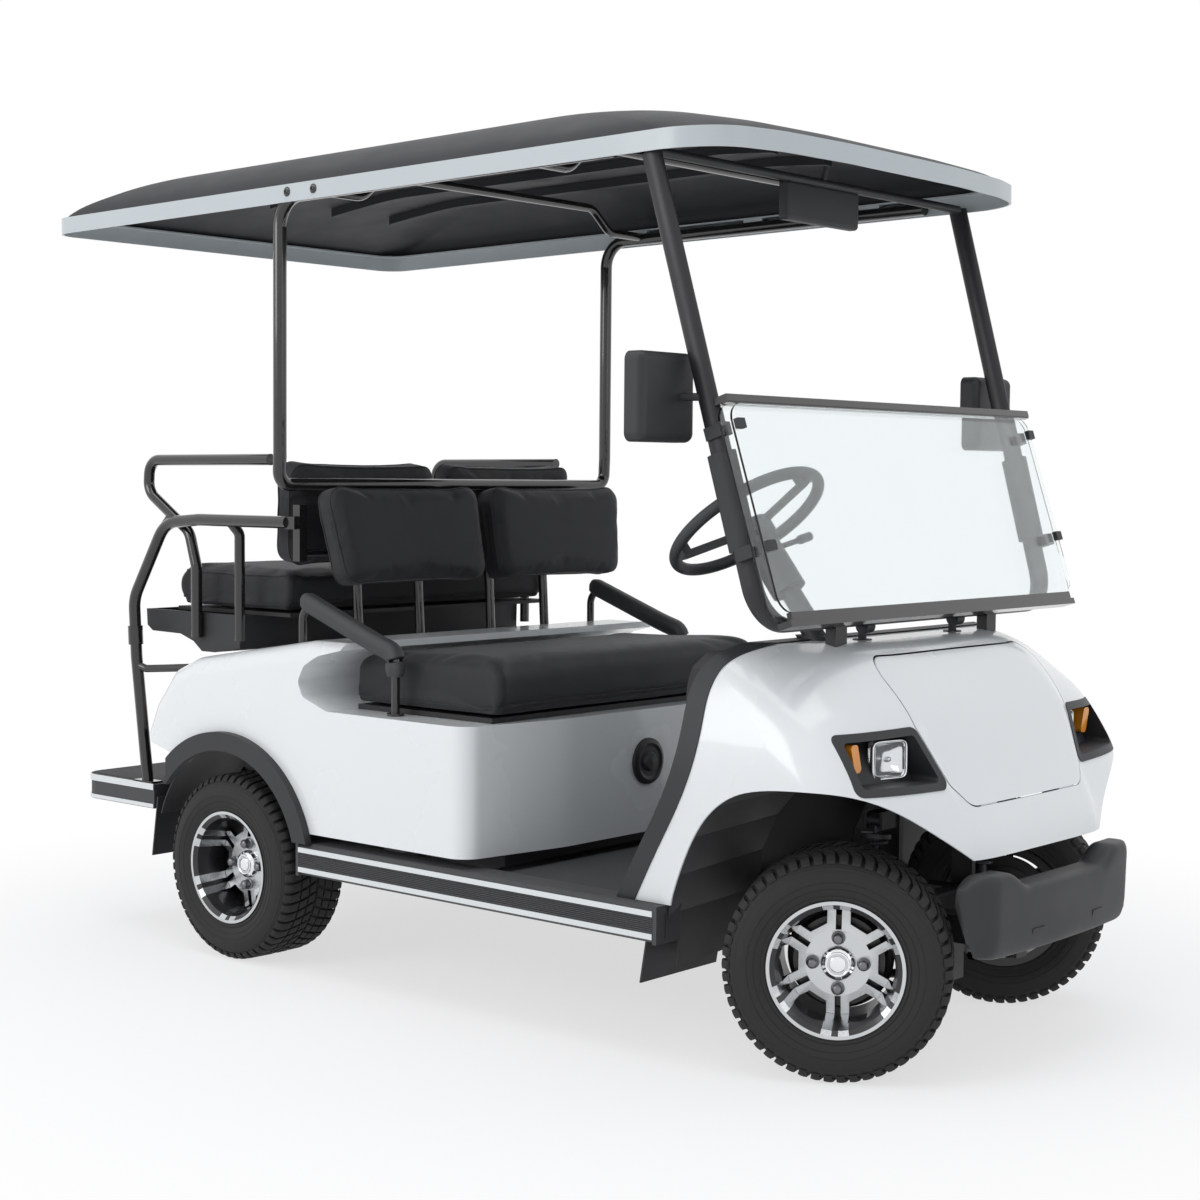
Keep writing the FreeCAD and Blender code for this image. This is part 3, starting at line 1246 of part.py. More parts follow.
hoop_points = [(d.hoop_top_x, -d.hoop_y, d.hoop_top_z), (d.hoop_low_x, -d.hoop_low_y, d.hoop_low_z),
               (d.hoop_low_x, d.hoop_low_y, d.hoop_low_z), (d.hoop_top_x, d.hoop_y, d.hoop_top_z)]
hoop_path = bent_path(hoop_points, 85)
leg = vec(*hoop_points[1]) - vec(*hoop_points[0])
hoop_normal = leg.cross(Vector(0, 1, 0))
hoop = hoop_path.makePipeShell([oval(vec(*hoop_points[0]), leg, d.hoop_wide, d.hoop_thick, hoop_normal)],
                               True, False)
feet = [Part.makeBox(26, 40, 44, vec(d.hoop_low_x - 13, way * 300 - 20, 850)) for way in (-1, 1)]
hoop = hoop.fuse(feet).cut(moved_z(form, 0.3))
keep("windshield_frame", shaped(hoop))

lean_x = float(d.pane_low_x - d.pane_high_x)
lean_z = float(d.pane_high_z - d.pane_low_z)
pane_high = math.hypot(lean_x, lean_z)
lean = math.degrees(math.atan2(lean_x, lean_z))


def leaned(shape):
    """Lay a piece that is drawn upright (x out, z up from the pane's foot) into the windshield's slope."""
    copy = shape.copy()
    copy.rotate(Vector(0, 0, 0), Vector(0, 1, 0), -lean)
    copy.translate(vec(d.pane_low_x, 0, d.pane_low_z))
    return copy


def pane(half, low, high, x0):
    return leaned(prism_x([(-half, low), (half, low), (half, high), (-half, high)], 38, x0,
                          x0 + float(d.pane_thick)))


pane_half = float(d.pane_half)
front_x0 = float(d.pane_thick + d.pane_gap)
keep("windshield_panes", shaped(Part.makeCompound([pane(pane_half, 0, pane_high, 0),
                                                   pane(pane_half - 14, 16, pane_high - 3, front_x0)])))


def slab(x0, x1, y0, y1, z0, z1):
    return Part.makeBox(float(x1 - x0), float(y1 - y0), float(z1 - z0), vec(x0, y0, z0))


hinge_bar = leaned(slab(-4, front_x0 + 10, -pane_half + 6, pane_half - 6, pane_high + 0.3, pane_high + 15))
hinge_lip = leaned(slab(front_x0 - 3, front_x0 + 8, -pane_half + 6, pane_half - 6, pane_high - 2.7,
                        pane_high + 2))
hinge_bar = hinge_bar.fuse(hinge_lip)
foot_bar = leaned(slab(-4, front_x0 + 10, -pane_half + 30, pane_half - 30, -14, -0.3))
foot_lip = leaned(slab(front_x0 - 3, front_x0 + 8, -pane_half + 40, pane_half - 40, -1, 15.7))
foot_bar = foot_bar.fuse(foot_lip)
clips = []
for z in (150, pane_high - 46):
    clips.append(leaned(slab(-46, -0.3, -pane_half + 8, -pane_half + 34, z - 13, z + 13)))
    clips.append(leaned(slab(front_x0 + 5.3, front_x0 + 16, -pane_half + 16, -pane_half + 40, z - 10,
                             z + 10)))
sleeve_path = [between(hoop_points[0], hoop_points[1], share) for share in (0.64, 0.84)]
sleeve_line = sleeve_path[1] - sleeve_path[0]
sleeve = Part.Face(oval(sleeve_path[0], leg, d.hoop_wide + 16, d.hoop_thick + 16,
                        hoop_normal)).extrude(sleeve_line)
sleeve_hole = Part.Face(oval(sleeve_path[0], leg, d.hoop_wide + 0.6, d.hoop_thick + 0.6, hoop_normal))
sleeve = sleeve.cut(sleeve_hole.extrude(sleeve_line))
clips = [clip.cut(hoop).cut(sleeve) for clip in clips]
hook_base = Part.makeCylinder(20, 9, vec(922, -180, 850))
hook_stem = Part.makeCylinder(9, 40, vec(922, -180, 850))
hook_head = Part.makeCylinder(15, 30, vec(930, -195, 886), Vector(0, 1, 0))
hook = hook_base.fuse([hook_stem, hook_head]).cut([form, hoop])
keep("windshield_rails", shaped(Part.makeCompound([hinge_bar, foot_bar])))
keep("windshield_fittings", shaped(pair(*clips, sleeve, hook)))

mirror_low = vec(714, -715, 1262)
mirror = slab(mirror_low.x, mirror_low.x + 45, mirror_low.y, mirror_low.y + 172, mirror_low.z,
              mirror_low.z + 178)
mirror = mirror.makeFillet(18, [edge for edge in mirror.Edges if edge.CenterOfMass.x > mirror_low.x + 1])
mirror_arm = rod((750, -590, 1352), tuple(between(hoop_points[0], hoop_points[1], 0.521)), 8)
mirror = melted(mirror, mirror_arm).cut(hoop)
inner_mirror = slab(664, 686, -140, 140, 1752, 1838)
inner_mirror = inner_mirror.makeFillet(9, [edge for edge in inner_mirror.Edges if edge.CenterOfMass.x > 665])
inner_stem = rod((676, 0, 1822), (690, 0, 1880), 6)
head_bar = rod((d.hoop_top_x + 8, -d.hoop_y + 12, roof_run_z + 2),
               (d.hoop_top_x + 8, d.hoop_y - 12, roof_run_z + 2), 10)
mirror_bits = [melted(inner_mirror, inner_stem, head_bar).cut(hoop)]
keep("mirrors", shaped(Part.makeCompound([mirror, flip(mirror)] + mirror_bits)))
side_glass = slab(mirror_low.x - 3.3, mirror_low.x - 0.3, mirror_low.y + 10, mirror_low.y + 162,
                  mirror_low.z + 10, mirror_low.z + 168)
inner_glass = slab(660.7, 663.7, -134, 134, 1758, 1832)
keep("mirror_glasses", shaped(Part.makeCompound([side_glass, flip(side_glass), inner_glass])))

# seats

def cushion(name, profile, half, round_side):
    """A plain closed cushion: its side view across the cart, softened at the ends."""
    block = Body(name)
    block.pad(block.polygon("XZ_Plane", profile), 2 * half, symmetric=True)
    block.fillet(round_side, flank_at(half, -1000, 3000))
    return block.body


bench_low = d.side_panel_z + 12.6
keep("front_seat_cushion", cushion("bench", [
    (d.bench_back, bench_low), (d.bench_front - 26, bench_low), (d.bench_front, bench_low + 30),
    (d.bench_front, d.bench_top_z - 34), (d.bench_front - 34, d.bench_top_z - 2),
    (d.bench_front - 120, d.bench_top_z), (d.bench_back, d.bench_top_z - 16)], d.seat_half + 5, 24))
keep("rear_seat_cushion", cushion("rear_bench", [
    (d.rear_seat_front, d.rear_seat_low_z), (d.rear_seat_back + 24, d.rear_seat_low_z),
    (d.rear_seat_back, d.rear_seat_low_z + 30), (d.rear_seat_back, d.rear_seat_top_z - 34),
    (d.rear_seat_back + 34, d.rear_seat_top_z - 2), (d.rear_seat_front, d.rear_seat_top_z - 8)],
    d.seat_half - 20, 24))


def backrest(low, high, outer_low, outer_high, thick):
    """One seat back, drawn upright with its face at x = 0 and its back at x = -thick."""
    near = float(d.back_split) / 2
    shape = prism_x([(-near, 0), (-outer_low, 0), (-outer_high, high - low), (-near, high - low)], 46,
                    -float(thick), 0)
    front = [edge for edge in shape.Edges if edge.BoundBox.XMin > -0.01]
    return shape.makeFillet(20, front)


def tilted(shape, angle, x, z):
    copy = shape.copy()
    copy.rotate(Vector(0, 0, 0), Vector(0, 1, 0), angle)
    copy.translate(vec(x, 0, z))
    return copy


front_low = float(d.front_back_low_z)
front_high = float(d.front_back_top_z)
rear_low = float(d.rear_back_low_z)
rear_high = float(d.rear_back_top_z)
front_back = tilted(backrest(front_low, front_high, 512, 548, d.back_thick), -10, -300, front_low)
keep("front_backrests", shaped(pair(front_back)))
rear_back = backrest(rear_low, rear_high, 500, 528, d.back_thick)
rear_back.rotate(Vector(0, 0, 0), Vector(0, 0, 1), 180)
rear_back = tilted(rear_back, 8, -600, rear_low)
keep("rear_backrests", shaped(pair(rear_back)))

def front_plane(z):
    """Where the front backs' rear face lies along X at a height."""
    return face_x(-300, -float(d.back_thick), -10, z - front_low)


def rear_plane(z):
    """Where the rear backs' front face lies along X at a height."""
    return face_x(-600, float(d.back_thick), 8, z - rear_low)


def face_x(x0, thick, angle, up):
    lean_angle = math.radians(angle)
    along = (up + thick * math.sin(lean_angle)) / math.cos(lean_angle)
    return x0 + thick * math.cos(lean_angle) + along * math.sin(lean_angle)


# the board below the bench, the tray below the rear seat, and the tubes that carry the backs
board = Body("board")
board.pad(board.polygon("XY_Plane", [(d.bench_back_x + 8, -d.seat_half + 14), (d.bench_front - 44,
                                                                               -d.seat_half + 14),
                                     (d.bench_front - 44, d.seat_half - 14),
                                     (d.bench_back_x + 8, d.seat_half - 14)],
                        offset=d.side_panel_z + 0.3), 12)
tray_low = float(d.tray_low_z)
tray_top = float(d.tray_top_z)
tray_half = float(d.seat_half) + 4
tray_side = [(-1075, tray_top), (-1072, tray_top - 42), (-1050, tray_top - 56), (-936, tray_top - 58),
             (-884, tray_top - 74), (-850, tray_low - 8), (-800, tray_low - 8), (-702, tray_low + 8),
             (-700, tray_top)]
tray_hollow = [(-1066, tray_top + 1), (-1064, tray_top - 36), (-1048, tray_top - 47), (-934, tray_top - 49),
               (-878, tray_top - 66), (-846, tray_low + 1), (-800, tray_low + 1), (-711, tray_low + 16),
               (-709, tray_top + 1)]
tray = prism_y(tray_side, 0, -tray_half, tray_half)
tray = tray.cut(prism_y(tray_hollow, 0, 10 - tray_half, tray_half - 10))
keep("rear_seat_tray", shaped(tray))
seat_plate = box(d.rear_seat_back + 20, d.rear_seat_front - 4, -d.seat_half + 34, d.seat_half - 34,
                 d.tray_top_z + 0.3,
                 d.rear_seat_low_z - 0.3)

# whatever stands on the deck ends just above its slope
deck_line = [(lip_x, d.deck_z), (d.bench_back_x - 82, d.deck_z), (d.tail_x, d.tail_z)]
deck_tool = prism_y([(float(x), float(z) + 0.3) for x, z in deck_line] + [(float(d.tail_x), 500),
                                                                          (float(lip_x), 500)],
                    0, -650, 650)
frame_mid = float(frame_x)
arcs = []
for y in (-340, -130, 130, 340):
    arcs.append(tube([(frame_mid - 1, y, frame_top - 6), (frame_mid - 6, y, 1010), (frame_mid + 8, y, 770)],
                     12, 120))
cross_bar = rod((frame_mid, -380, frame_top), (frame_mid, 380, frame_top), float(d.post_radius))
low_bar = rod((frame_mid - 3, -520, 1003), (frame_mid - 3, 520, 1003), 10)
pads_between = []
for y in (-280, 280):
    front_of = [front_plane(z) - 0.3 for z in (1030, 1080)]
    behind = [rear_plane(z) + 0.3 for z in (1030, 1080)]
    pads_between.append(prism_y([(behind[0], 1030), (front_of[0], 1030), (front_of[1], 1080),
                                 (behind[1], 1080)],
                                0, y - 60, y + 60))
side_stub = [slab(frame_mid - 12, frame_mid + 12, way * 525 - 11.7, way * 525 + 11.7, 985,
                  1120) for way in (-1, 1)]
carrier = melted(cross_bar, low_bar, *arcs, *pads_between, *side_stub).cut(deck_tool)

# armrests: a tube from the deck over to the flank, and a foam sleeve along its top
arm_y = 526
arm_points = [(-442, -arm_y, 770), (-442, -arm_y, 896), (-180, -arm_y, 800), (-122, -arm_y, 784),
              (-122, -arm_y, d.side_panel_z + 0.3)]
arm_tube = tube(arm_points, 10, 38)
arm_foot = Part.makeCylinder(20, 6, vec(-122, -arm_y, d.side_panel_z + 0.3))
pad_points = [between(arm_points[1], arm_points[2], 0.16), vec(*arm_points[2]), vec(*arm_points[3]),
              between(arm_points[3], arm_points[4], 0.2)]
foam = tube([tuple(point) for point in pad_points], 19, 34).cut(tube(arm_points, 10.3, 38))
arm_tubes = pair(melted(arm_tube, arm_foot).cut(deck_tool))
keep("seat_frame", together(shaped(carrier), shaped(arm_tubes)))
keep("seat_boards", together(board.body, seat_plate))
keep("armrest_pads", shaped(pair(foam)))

# rear footplate, its brackets and the grab rails

foot = Body("footplate")
foot.pad(foot.polygon("XY_Plane", [(d.foot_back_x, -d.foot_half), (d.foot_front_x, -d.foot_half),
                                   (d.foot_front_x, d.foot_half), (d.foot_back_x, d.foot_half)],
                      offset=d.foot_top_z - d.foot_high), d.foot_high)
foot.fillet(60, lambda edge: runs_along(edge, (0, 0, 1)) and edge.CenterOfMass.x < d.foot_back_x.value + 5)
recess = foot.polygon("XY_Plane", [(d.foot_back_x + 8, -d.foot_half + 8), (d.foot_front_x - 8,
                                                                           -d.foot_half + 8),
                                   (d.foot_front_x - 8, d.foot_half - 8),
                                   (d.foot_back_x + 8, d.foot_half - 8)],
                      offset=d.foot_top_z - d.foot_high)
foot.pocket(recess, d.foot_high - 12, backward=True)
keep("rear_footplate", foot.body)
edge_points = [(-800, -d.foot_half - 0.3), (d.foot_back_x - 0.3, -d.foot_half - 0.3),
               (d.foot_back_x - 0.3, d.foot_half + 0.3), (-800, d.foot_half + 0.3)]
strip_out = prism_z(grown(edge_points, 3), 63, d.foot_top_z - 14, d.foot_top_z + 2)
strip_in = prism_z(edge_points, 60.3, d.foot_top_z - d.foot_high, d.foot_top_z + 10)
strip_low = prism_z(grown(edge_points, 3), 63, d.foot_top_z - d.foot_high + 2,
                    d.foot_top_z - d.foot_high + 12)
trim_cut = slab(d.foot_front_x - 0.5, -700, -900, 900, 200, 500)
foot_trim = Part.makeCompound([one.cut([strip_in, trim_cut]) for one in (strip_out, strip_low)])
keep("trim_strips", together(step_strips, shaped(foot_trim)))
link_end = -float(d.rail_y + d.rail_wide / 2) - 0.3
link_points = [(d.foot_front_x + 0.3, -500, 372), (-962, -500, 374), (-952, -478, 384),
               (-950, link_end + 4, 410)]
link = tube(link_points, 10, 14)
link = link.cut([slab(-1100, d.foot_front_x + 0.3, -700, 0, 300, 500),
                 slab(-1000, -900, link_end, 0, 300, 500)])
keep("brackets", together(step_hangers, shaped(pair(link)), bumper_stays))

rail_r = float(d.rail_tube_radius)
hand_y = float(d.handrail_y)
foot_y = hand_y - 20
plate_z = float(d.foot_top_z) + 0.3
tray_side_y = tray_half + 0.4
inner_y = tray_side_y + rail_r - 1
outer_rail = tube([(-1036, -foot_y, plate_z), (-1060, -hand_y + 4, 720), (-1064, -hand_y, 870),
                   (-935, -hand_y, 1068), (-800, -hand_y, 1078), (-466, -hand_y, 1078)], rail_r, 90)
base_plate = Part.makeBox(76, 34, 5, vec(-1036 - 38, -foot_y - 17, plate_z))
joint_sleeve = rod((-1061.4, -hand_y + 3, 752), (-1062.6, -hand_y + 2, 800), rail_r + 4)
flat_end = slab(-470, -436, -hand_y - 6, -hand_y + 4, 1062, 1092)
end_bolt = Part.makeCylinder(8, hand_y - 536.9, vec(-452, -hand_y + 0.1, 1078), Vector(0, 1, 0))
inner_rail = tube([(-852, -inner_y, 780), (-852, -inner_y, 957), (-880, -inner_y, 1045),
                   (-1046, -inner_y, 1146),
                   (-1040, -inner_y, 1226), (-567, -inner_y, 1228)], rail_r - 1, 46)
link_bar = tube([(-684, -inner_y, 780), (-684, -inner_y, 1046), (-684, -hand_y + 4, 1076)], rail_r - 2, 24)
brace = tube([(-1062, -hand_y + 4, 700), (-1030, -hand_y + 12, 690), (-860, -500, 702)], 10, 24)
tail_line = [(float(x), float(z) + 0.3) for x, z in TAIL[2:6]]
tail_tool = prism_y(tail_line + [(-900, 500), (-400, 500)], 0, -650, 650)
cross_tie = rod((-950, -hand_y, 1052), (-950, -inner_y, 1092), 9)
rails = melted(outer_rail, base_plate, joint_sleeve, flat_end, end_bolt, inner_rail, link_bar, brace,
               cross_tie)
keep("handrails", shaped(pair(rails.cut([tail_tool, slab(-1100, -990, -700, 0, 300, plate_z)]))))

# steering wheel, column and pedals

tilt = float(d.wheel_tilt)
axis = Vector(math.sin(math.radians(tilt)), 0, -math.cos(math.radians(tilt)))
wheel_middle = vec(d.wheel_x, d.wheel_y, d.wheel_z)


def on_column(shape):
    """Set a piece drawn about Z, with the driver above it, on the column."""
    copy = shape.copy()
    copy.rotate(Vector(0, 0, 0), Vector(0, 1, 0), -tilt)
    copy.translate(wheel_middle)
    return copy


ring_r = float(d.wheel_ring_radius)
grip = float(d.wheel_grip_radius)
wheel_rim = Part.makeTorus(ring_r, grip)
spokes = []
for angle in (0, 120, 240):
    spoke = slab(20, ring_r - grip + 4, -15, 15, -26, -19)
    spoke = spoke.fuse(slab(ring_r - grip - 6, ring_r + 1, -13, 13, -26, 1))
    spoke.rotate(Vector(0, 0, 0), Vector(0, 0, 1), angle)
    spokes.append(spoke)
hub_disc = Part.makeCylinder(44, 34, Vector(0, 0, -42))
hub_disc = hub_disc.makeFillet(8, [edge for edge in hub_disc.Edges if edge.CenterOfMass.z > -9])
shaft_hole = Part.makeCylinder(float(d.shaft_radius + d.running_gap), 40, Vector(0, 0, -62))
steering = melted(wheel_rim, hub_disc, *spokes).cut(shaft_hole)
keep("steering_wheel", shaped(on_column(steering)))
column_long = 330
shaft = Part.makeCylinder(float(d.shaft_radius), 60, Vector(0, 0, -90))
jacket = Part.makeCylinder(float(d.column_radius), column_long - 52, Vector(0, 0, -column_long))
shroud = Part.makeCylinder(37, 130, Vector(0, 0, -182))
stalk = Part.makeCylinder(6, 120, Vector(0, 0, -80), Vector(0.2, 1, 0.12))
knob = Part.makeCylinder(10, 34, Vector(0, 0, -80) + Vector(0.2, 1, 0.12).normalize() * 112,
                         Vector(0.2, 1, 0.12))
column = melted(shaft, jacket, shroud, stalk, knob)
joint_top = wheel_middle + axis * (column_long - 4)
gear_top = vec(king_x, d.gear_y, 318)
drive = rod(tuple(joint_top), tuple(gear_top), float(d.shaft_radius) - 1)
gear_case = slab(king_x - 34, king_x + 46, d.gear_y - 27, d.gear_y + 27, 252, 312)
gear_neck = Part.makeCylinder(20, 16, vec(king_x, d.gear_y, 238))
sector = Part.makeCylinder(float(d.shaft_radius), 40, vec(king_x, d.gear_y, lift))
gear_mount = slab(king_x - 20, king_x + 20, -nose_in + 0.3, nose_in - 0.3, 292, 300)
joint_ball = Part.makeSphere(18, joint_top + axis * 6)
neck_case = slab(king_x - 14, king_x + 14, d.gear_y - 14, d.gear_y + 14, 305, 330)
gear = melted(gear_case, gear_neck, sector, drive, joint_ball, gear_mount, neck_case).cut(on_column(jacket))
boot = on_column(Part.makeCylinder(34, 60, Vector(0, 0, -330))).cut(cowl_form(-0.3))
boot_zone = cowl_form(-9).cut(cowl_form(-0.3))
column_shape = melted(on_column(column), boot.common(boot_zone).cut(cowl_form(-3.3).common(band)))
keep("steering_column", together(shaped(column_shape), shaped(gear)))

toe_low = float(toe_x) - 4.4
toe_z = float(d.floor_z + d.floor_thick)
toe_top = float(d.floor_z) + 293
toe_tool = prism_y([(toe_low, toe_z), (toe_low + 103, toe_top), (toe_low + 400, toe_top),
                    (toe_low + 400, toe_z)],
                   0, -500, 500)
pedals = []
for y, wide, long in ((-330, 58, 150), (-190, 84, 74)):
    face = slab(-6, 6, y - wide / 2, y + wide / 2, -long / 2, long / 2)
    face.rotate(Vector(0, 0, 0), Vector(0, 1, 0), 38)
    face.translate(vec(588 if long > 100 else 566, 0, 400 if long > 100 else 452))
    lever = rod((596 if long > 100 else 574, y, 404 if long > 100 else 458),
                (650 if long > 100 else 672, y, 470 if long > 100 else 560), 7)
    pedals.append(melted(face, lever).cut(toe_tool))
keep("pedals", shaped(Part.makeCompound(pedals)))

# wheel liners, flaps, tail lamps

# In side view: the front liner at the flank, close behind the arch's edge, and at its inner end.
LINER_OUT = [(704, 186), (711, 302), (732, 384), (768, 466), (815, 533), (882, 577), (974, 597),
             (1062, 603), (1190, 606)]
LINER_IN = [(660, 186), (660, 300), (672, 384), (712, 466), (770, 531), (850, 570), (950, 586), (1060, 574),
            (1176, 506)]


def sheet_section(path, thick, y):
    """A closed outline at y of a thin sheet that follows a path of (x, z) points."""
    outside_path = []
    for i, (x, z) in enumerate(path):
        before = vec(*path[max(i - 1, 0)], 0)
        after = vec(*path[min(i + 1, len(path) - 1)], 0)
        line = (after - before).normalize()
        outside_path.append((x - line.y * thick, z + line.x * thick))
    corners_at = [vec(x, y, z) for x, z in list(path) + outside_path[::-1]]
    return Part.makePolygon(corners_at + [corners_at[0]])


liner_wall = float(d.liner_wall)
front_liner = Part.makeLoft([sheet_section(LINER_OUT, liner_wall, -575),
                             sheet_section(LINER_IN, liner_wall, -180)], True, True)
front_liner = front_liner.common(
    cowl_form(wall + 0.5).fuse(slab(600, 760, -560, -150, 150, 300)))
front_liner = front_liner.cut([slab(600, 706, -700, -float(step_in) + 1.6, 100, d.step_top_z + 2.7),
                               prism_x(grown(LAMP, 5), 16, 940, 1300)])
rear_liner_r = float(d.rear_arch_radius) + 4
rear_liner = Part.makeCylinder(rear_liner_r + 3, 214, vec(d.rear_arch_x, -574, d.rear_arch_z),
                               Vector(0, 1, 0))
rear_liner = rear_liner.cut([Part.makeCylinder(rear_liner_r, 220, vec(d.rear_arch_x, -576, d.rear_arch_z),
                                               Vector(0, 1, 0)),
                             slab(-1400, 0, -700, 700, -100, 250)])
rear_liner = rear_liner.cut([slab(-1400, -840, -700, 700, 200, 330),
                             slab(d.step_back_x - 11, -300, -700, 1.6 - float(step_in), 100,
                                  d.step_top_z + 2.3)])
front_flap = prism_y([(636, 150), (652, 244.7), (656, 244.7), (640, 150)], 0, -556, -300)
rear_flap = prism_y([(-984, 214), (-961, 367), (-957, 367), (-980, 214)], 0, -560, -370)
rear_flap = rear_flap.cut([tube(link_points, 10.3, 14), slab(-990, -940, -470, -360, 360, 400)])
keep("wheel_liners", shaped(pair(front_liner, rear_liner, front_flap, rear_flap)))

# tail lamps: low oblong lamps on the slope of the tail
slope_top = vec(d.body_rear_x + 45, 0, d.body_rear_z + 95)
slope_low = vec(d.body_rear_x, 0, d.body_rear_z)
slope = slope_low - slope_top
lamp = slab(0, 14, -d.tail_lamp_wide / 2, d.tail_lamp_wide / 2, -d.tail_lamp_high / 2, d.tail_lamp_high / 2)
lamp = lamp.makeFillet(12, [edge for edge in lamp.Edges if runs_along(edge, (1, 0, 0))])
lamp = lamp.makeFillet(4, [edge for edge in lamp.Edges if edge.BoundBox.XMin > 13.9])
lamp.rotate(Vector(0, 0, 0), Vector(0, 1, 0), -90 - math.degrees(math.atan2(-slope.z, -slope.x)))
outward = Vector(slope.z, 0, -slope.x).normalize()
lamp.translate(slope_top + slope * 0.5 + outward * 0.3 + vec(0, -430, 0))
keep("tail_lamps", shaped(pair(lamp)))

# checks and export

doc.recompute()
for thing in doc.Objects:
    if "Invalid" in thing.State or "Error" in thing.State:
        raise RuntimeError("not valid: %s %s" % (thing.Label, thing.State))
os.makedirs("parts", exist_ok=True)
for thing in parts:
    if thing.Shape.isNull() or not thing.Shape.isValid() or not thing.Shape.Solids:
        raise RuntimeError("no valid solid: " + thing.Label)
for thing in parts:
    thing.Shape.exportStep("parts/%s.step" % thing.Label)
    print("%-22s %2d" % (thing.Label, len(thing.Shape.Solids)))
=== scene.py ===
import json
import math
import random
import bmesh
import bpy
from mathutils import Matrix, Vector, noise
from mathutils.bvhtree import BVHTree


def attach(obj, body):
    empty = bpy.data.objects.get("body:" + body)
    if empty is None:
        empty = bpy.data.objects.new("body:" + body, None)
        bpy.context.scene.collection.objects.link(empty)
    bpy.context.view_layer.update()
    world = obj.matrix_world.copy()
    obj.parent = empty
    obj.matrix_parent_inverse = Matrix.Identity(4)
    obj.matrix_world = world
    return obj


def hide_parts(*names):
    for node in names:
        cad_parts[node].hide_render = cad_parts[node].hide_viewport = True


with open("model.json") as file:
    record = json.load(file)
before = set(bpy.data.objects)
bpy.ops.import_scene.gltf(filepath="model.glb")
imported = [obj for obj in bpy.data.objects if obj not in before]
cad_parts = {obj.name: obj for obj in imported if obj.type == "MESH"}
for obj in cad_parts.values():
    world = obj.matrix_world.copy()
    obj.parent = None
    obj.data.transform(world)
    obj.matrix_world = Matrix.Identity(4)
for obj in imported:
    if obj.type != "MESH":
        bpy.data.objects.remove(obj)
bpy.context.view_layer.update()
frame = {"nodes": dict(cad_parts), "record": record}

NODES = frame["nodes"]
random.seed(7)

# camera, light and floor

# the camera fitted to the photo: its place in metres, its own directions and its lens in millimetres
CAMERA_PLACE = (3.347, -3.8526, 1.193)
CAMERA_RIGHT = Vector((0.7587794, 0.65129325, 0.00842135))
CAMERA_UP = Vector((-0.04470727, 0.0391782, 0.9982316))
CAMERA_AHEAD = Vector((-0.64981157, 0.75781407, -0.05884515))
CAMERA_LENS = 62.725
cam_data = bpy.data.cameras.new("view")
cam_data.sensor_width = 36
cam_data.lens = CAMERA_LENS
cam_data.clip_end = 60
cam = bpy.data.objects.new("view", cam_data)
bpy.context.scene.collection.objects.link(cam)
spin = Matrix((CAMERA_RIGHT, CAMERA_UP, -CAMERA_AHEAD)).transposed().to_4x4()
cam.matrix_world = Matrix.Translation(CAMERA_PLACE) @ spin
bpy.context.scene.camera = cam


def nodes_of(thing):
    thing.use_nodes = True
    return thing.node_tree.nodes, thing.node_tree.links


def seen_rays(nodes, links):
    """1 for what the camera sees, straight or through glass or in a reflection."""
    path = nodes.new("ShaderNodeLightPath")
    last = path.outputs["Is Camera Ray"]
    for ray in ("Is Transmission Ray", "Is Glossy Ray"):
        either = nodes.new("ShaderNodeMath")
        either.operation = "MAXIMUM"
        links.new(last, either.inputs[0])
        links.new(path.outputs[ray], either.inputs[1])
        last = either.outputs[0]
    return last


world = bpy.data.worlds.new("studio")
bpy.context.scene.world = world
wn, wl = nodes_of(world)
wn.clear()
soft = wn.new("ShaderNodeBackground")
soft.inputs["Color"].default_value = (0.9, 0.95, 1.0, 1)
soft.inputs["Strength"].default_value = 0.6
white = wn.new("ShaderNodeBackground")
white.inputs["Color"].default_value = (1, 1, 1, 1)
white.inputs["Strength"].default_value = 1.0
pick = wn.new("ShaderNodeMixShader")
wl.new(seen_rays(wn, wl), pick.inputs["Fac"])
wl.new(soft.outputs[0], pick.inputs[1])
wl.new(white.outputs[0], pick.inputs[2])
wout = wn.new("ShaderNodeOutputWorld")
wl.new(pick.outputs[0], wout.inputs["Surface"])
bpy.context.scene.view_settings.view_transform = "Standard"


def area_light(name, place, target, size, watts, colour=(1, 1, 1)):
    data = bpy.data.lights.new(name, "AREA")
    data.shape = "RECTANGLE"
    data.size, data.size_y = size
    data.energy = watts
    data.color = colour
    lamp = bpy.data.objects.new(name, data)
    bpy.context.scene.collection.objects.link(lamp)
    lamp.location = place
    lamp.rotation_euler = (Vector(target) - Vector(place)).to_track_quat("-Z", "Y").to_euler()


MIDDLE = (0, 0, 0.8)
area_light("overhead", (0.0, -0.6, 5.4), MIDDLE, (5, 4), 105)
area_light("key", (-1.8, -5.6, 3.0), MIDDLE, (3, 2.4), 90)
area_light("front", (5.6, 0.2, 2.4), (0.3, 0, 0.8), (2.6, 2.4), 16)


def new_object(name, mesh):
    thing = bpy.data.objects.new(name, mesh)
    bpy.context.scene.collection.objects.link(thing)
    return thing


# materials

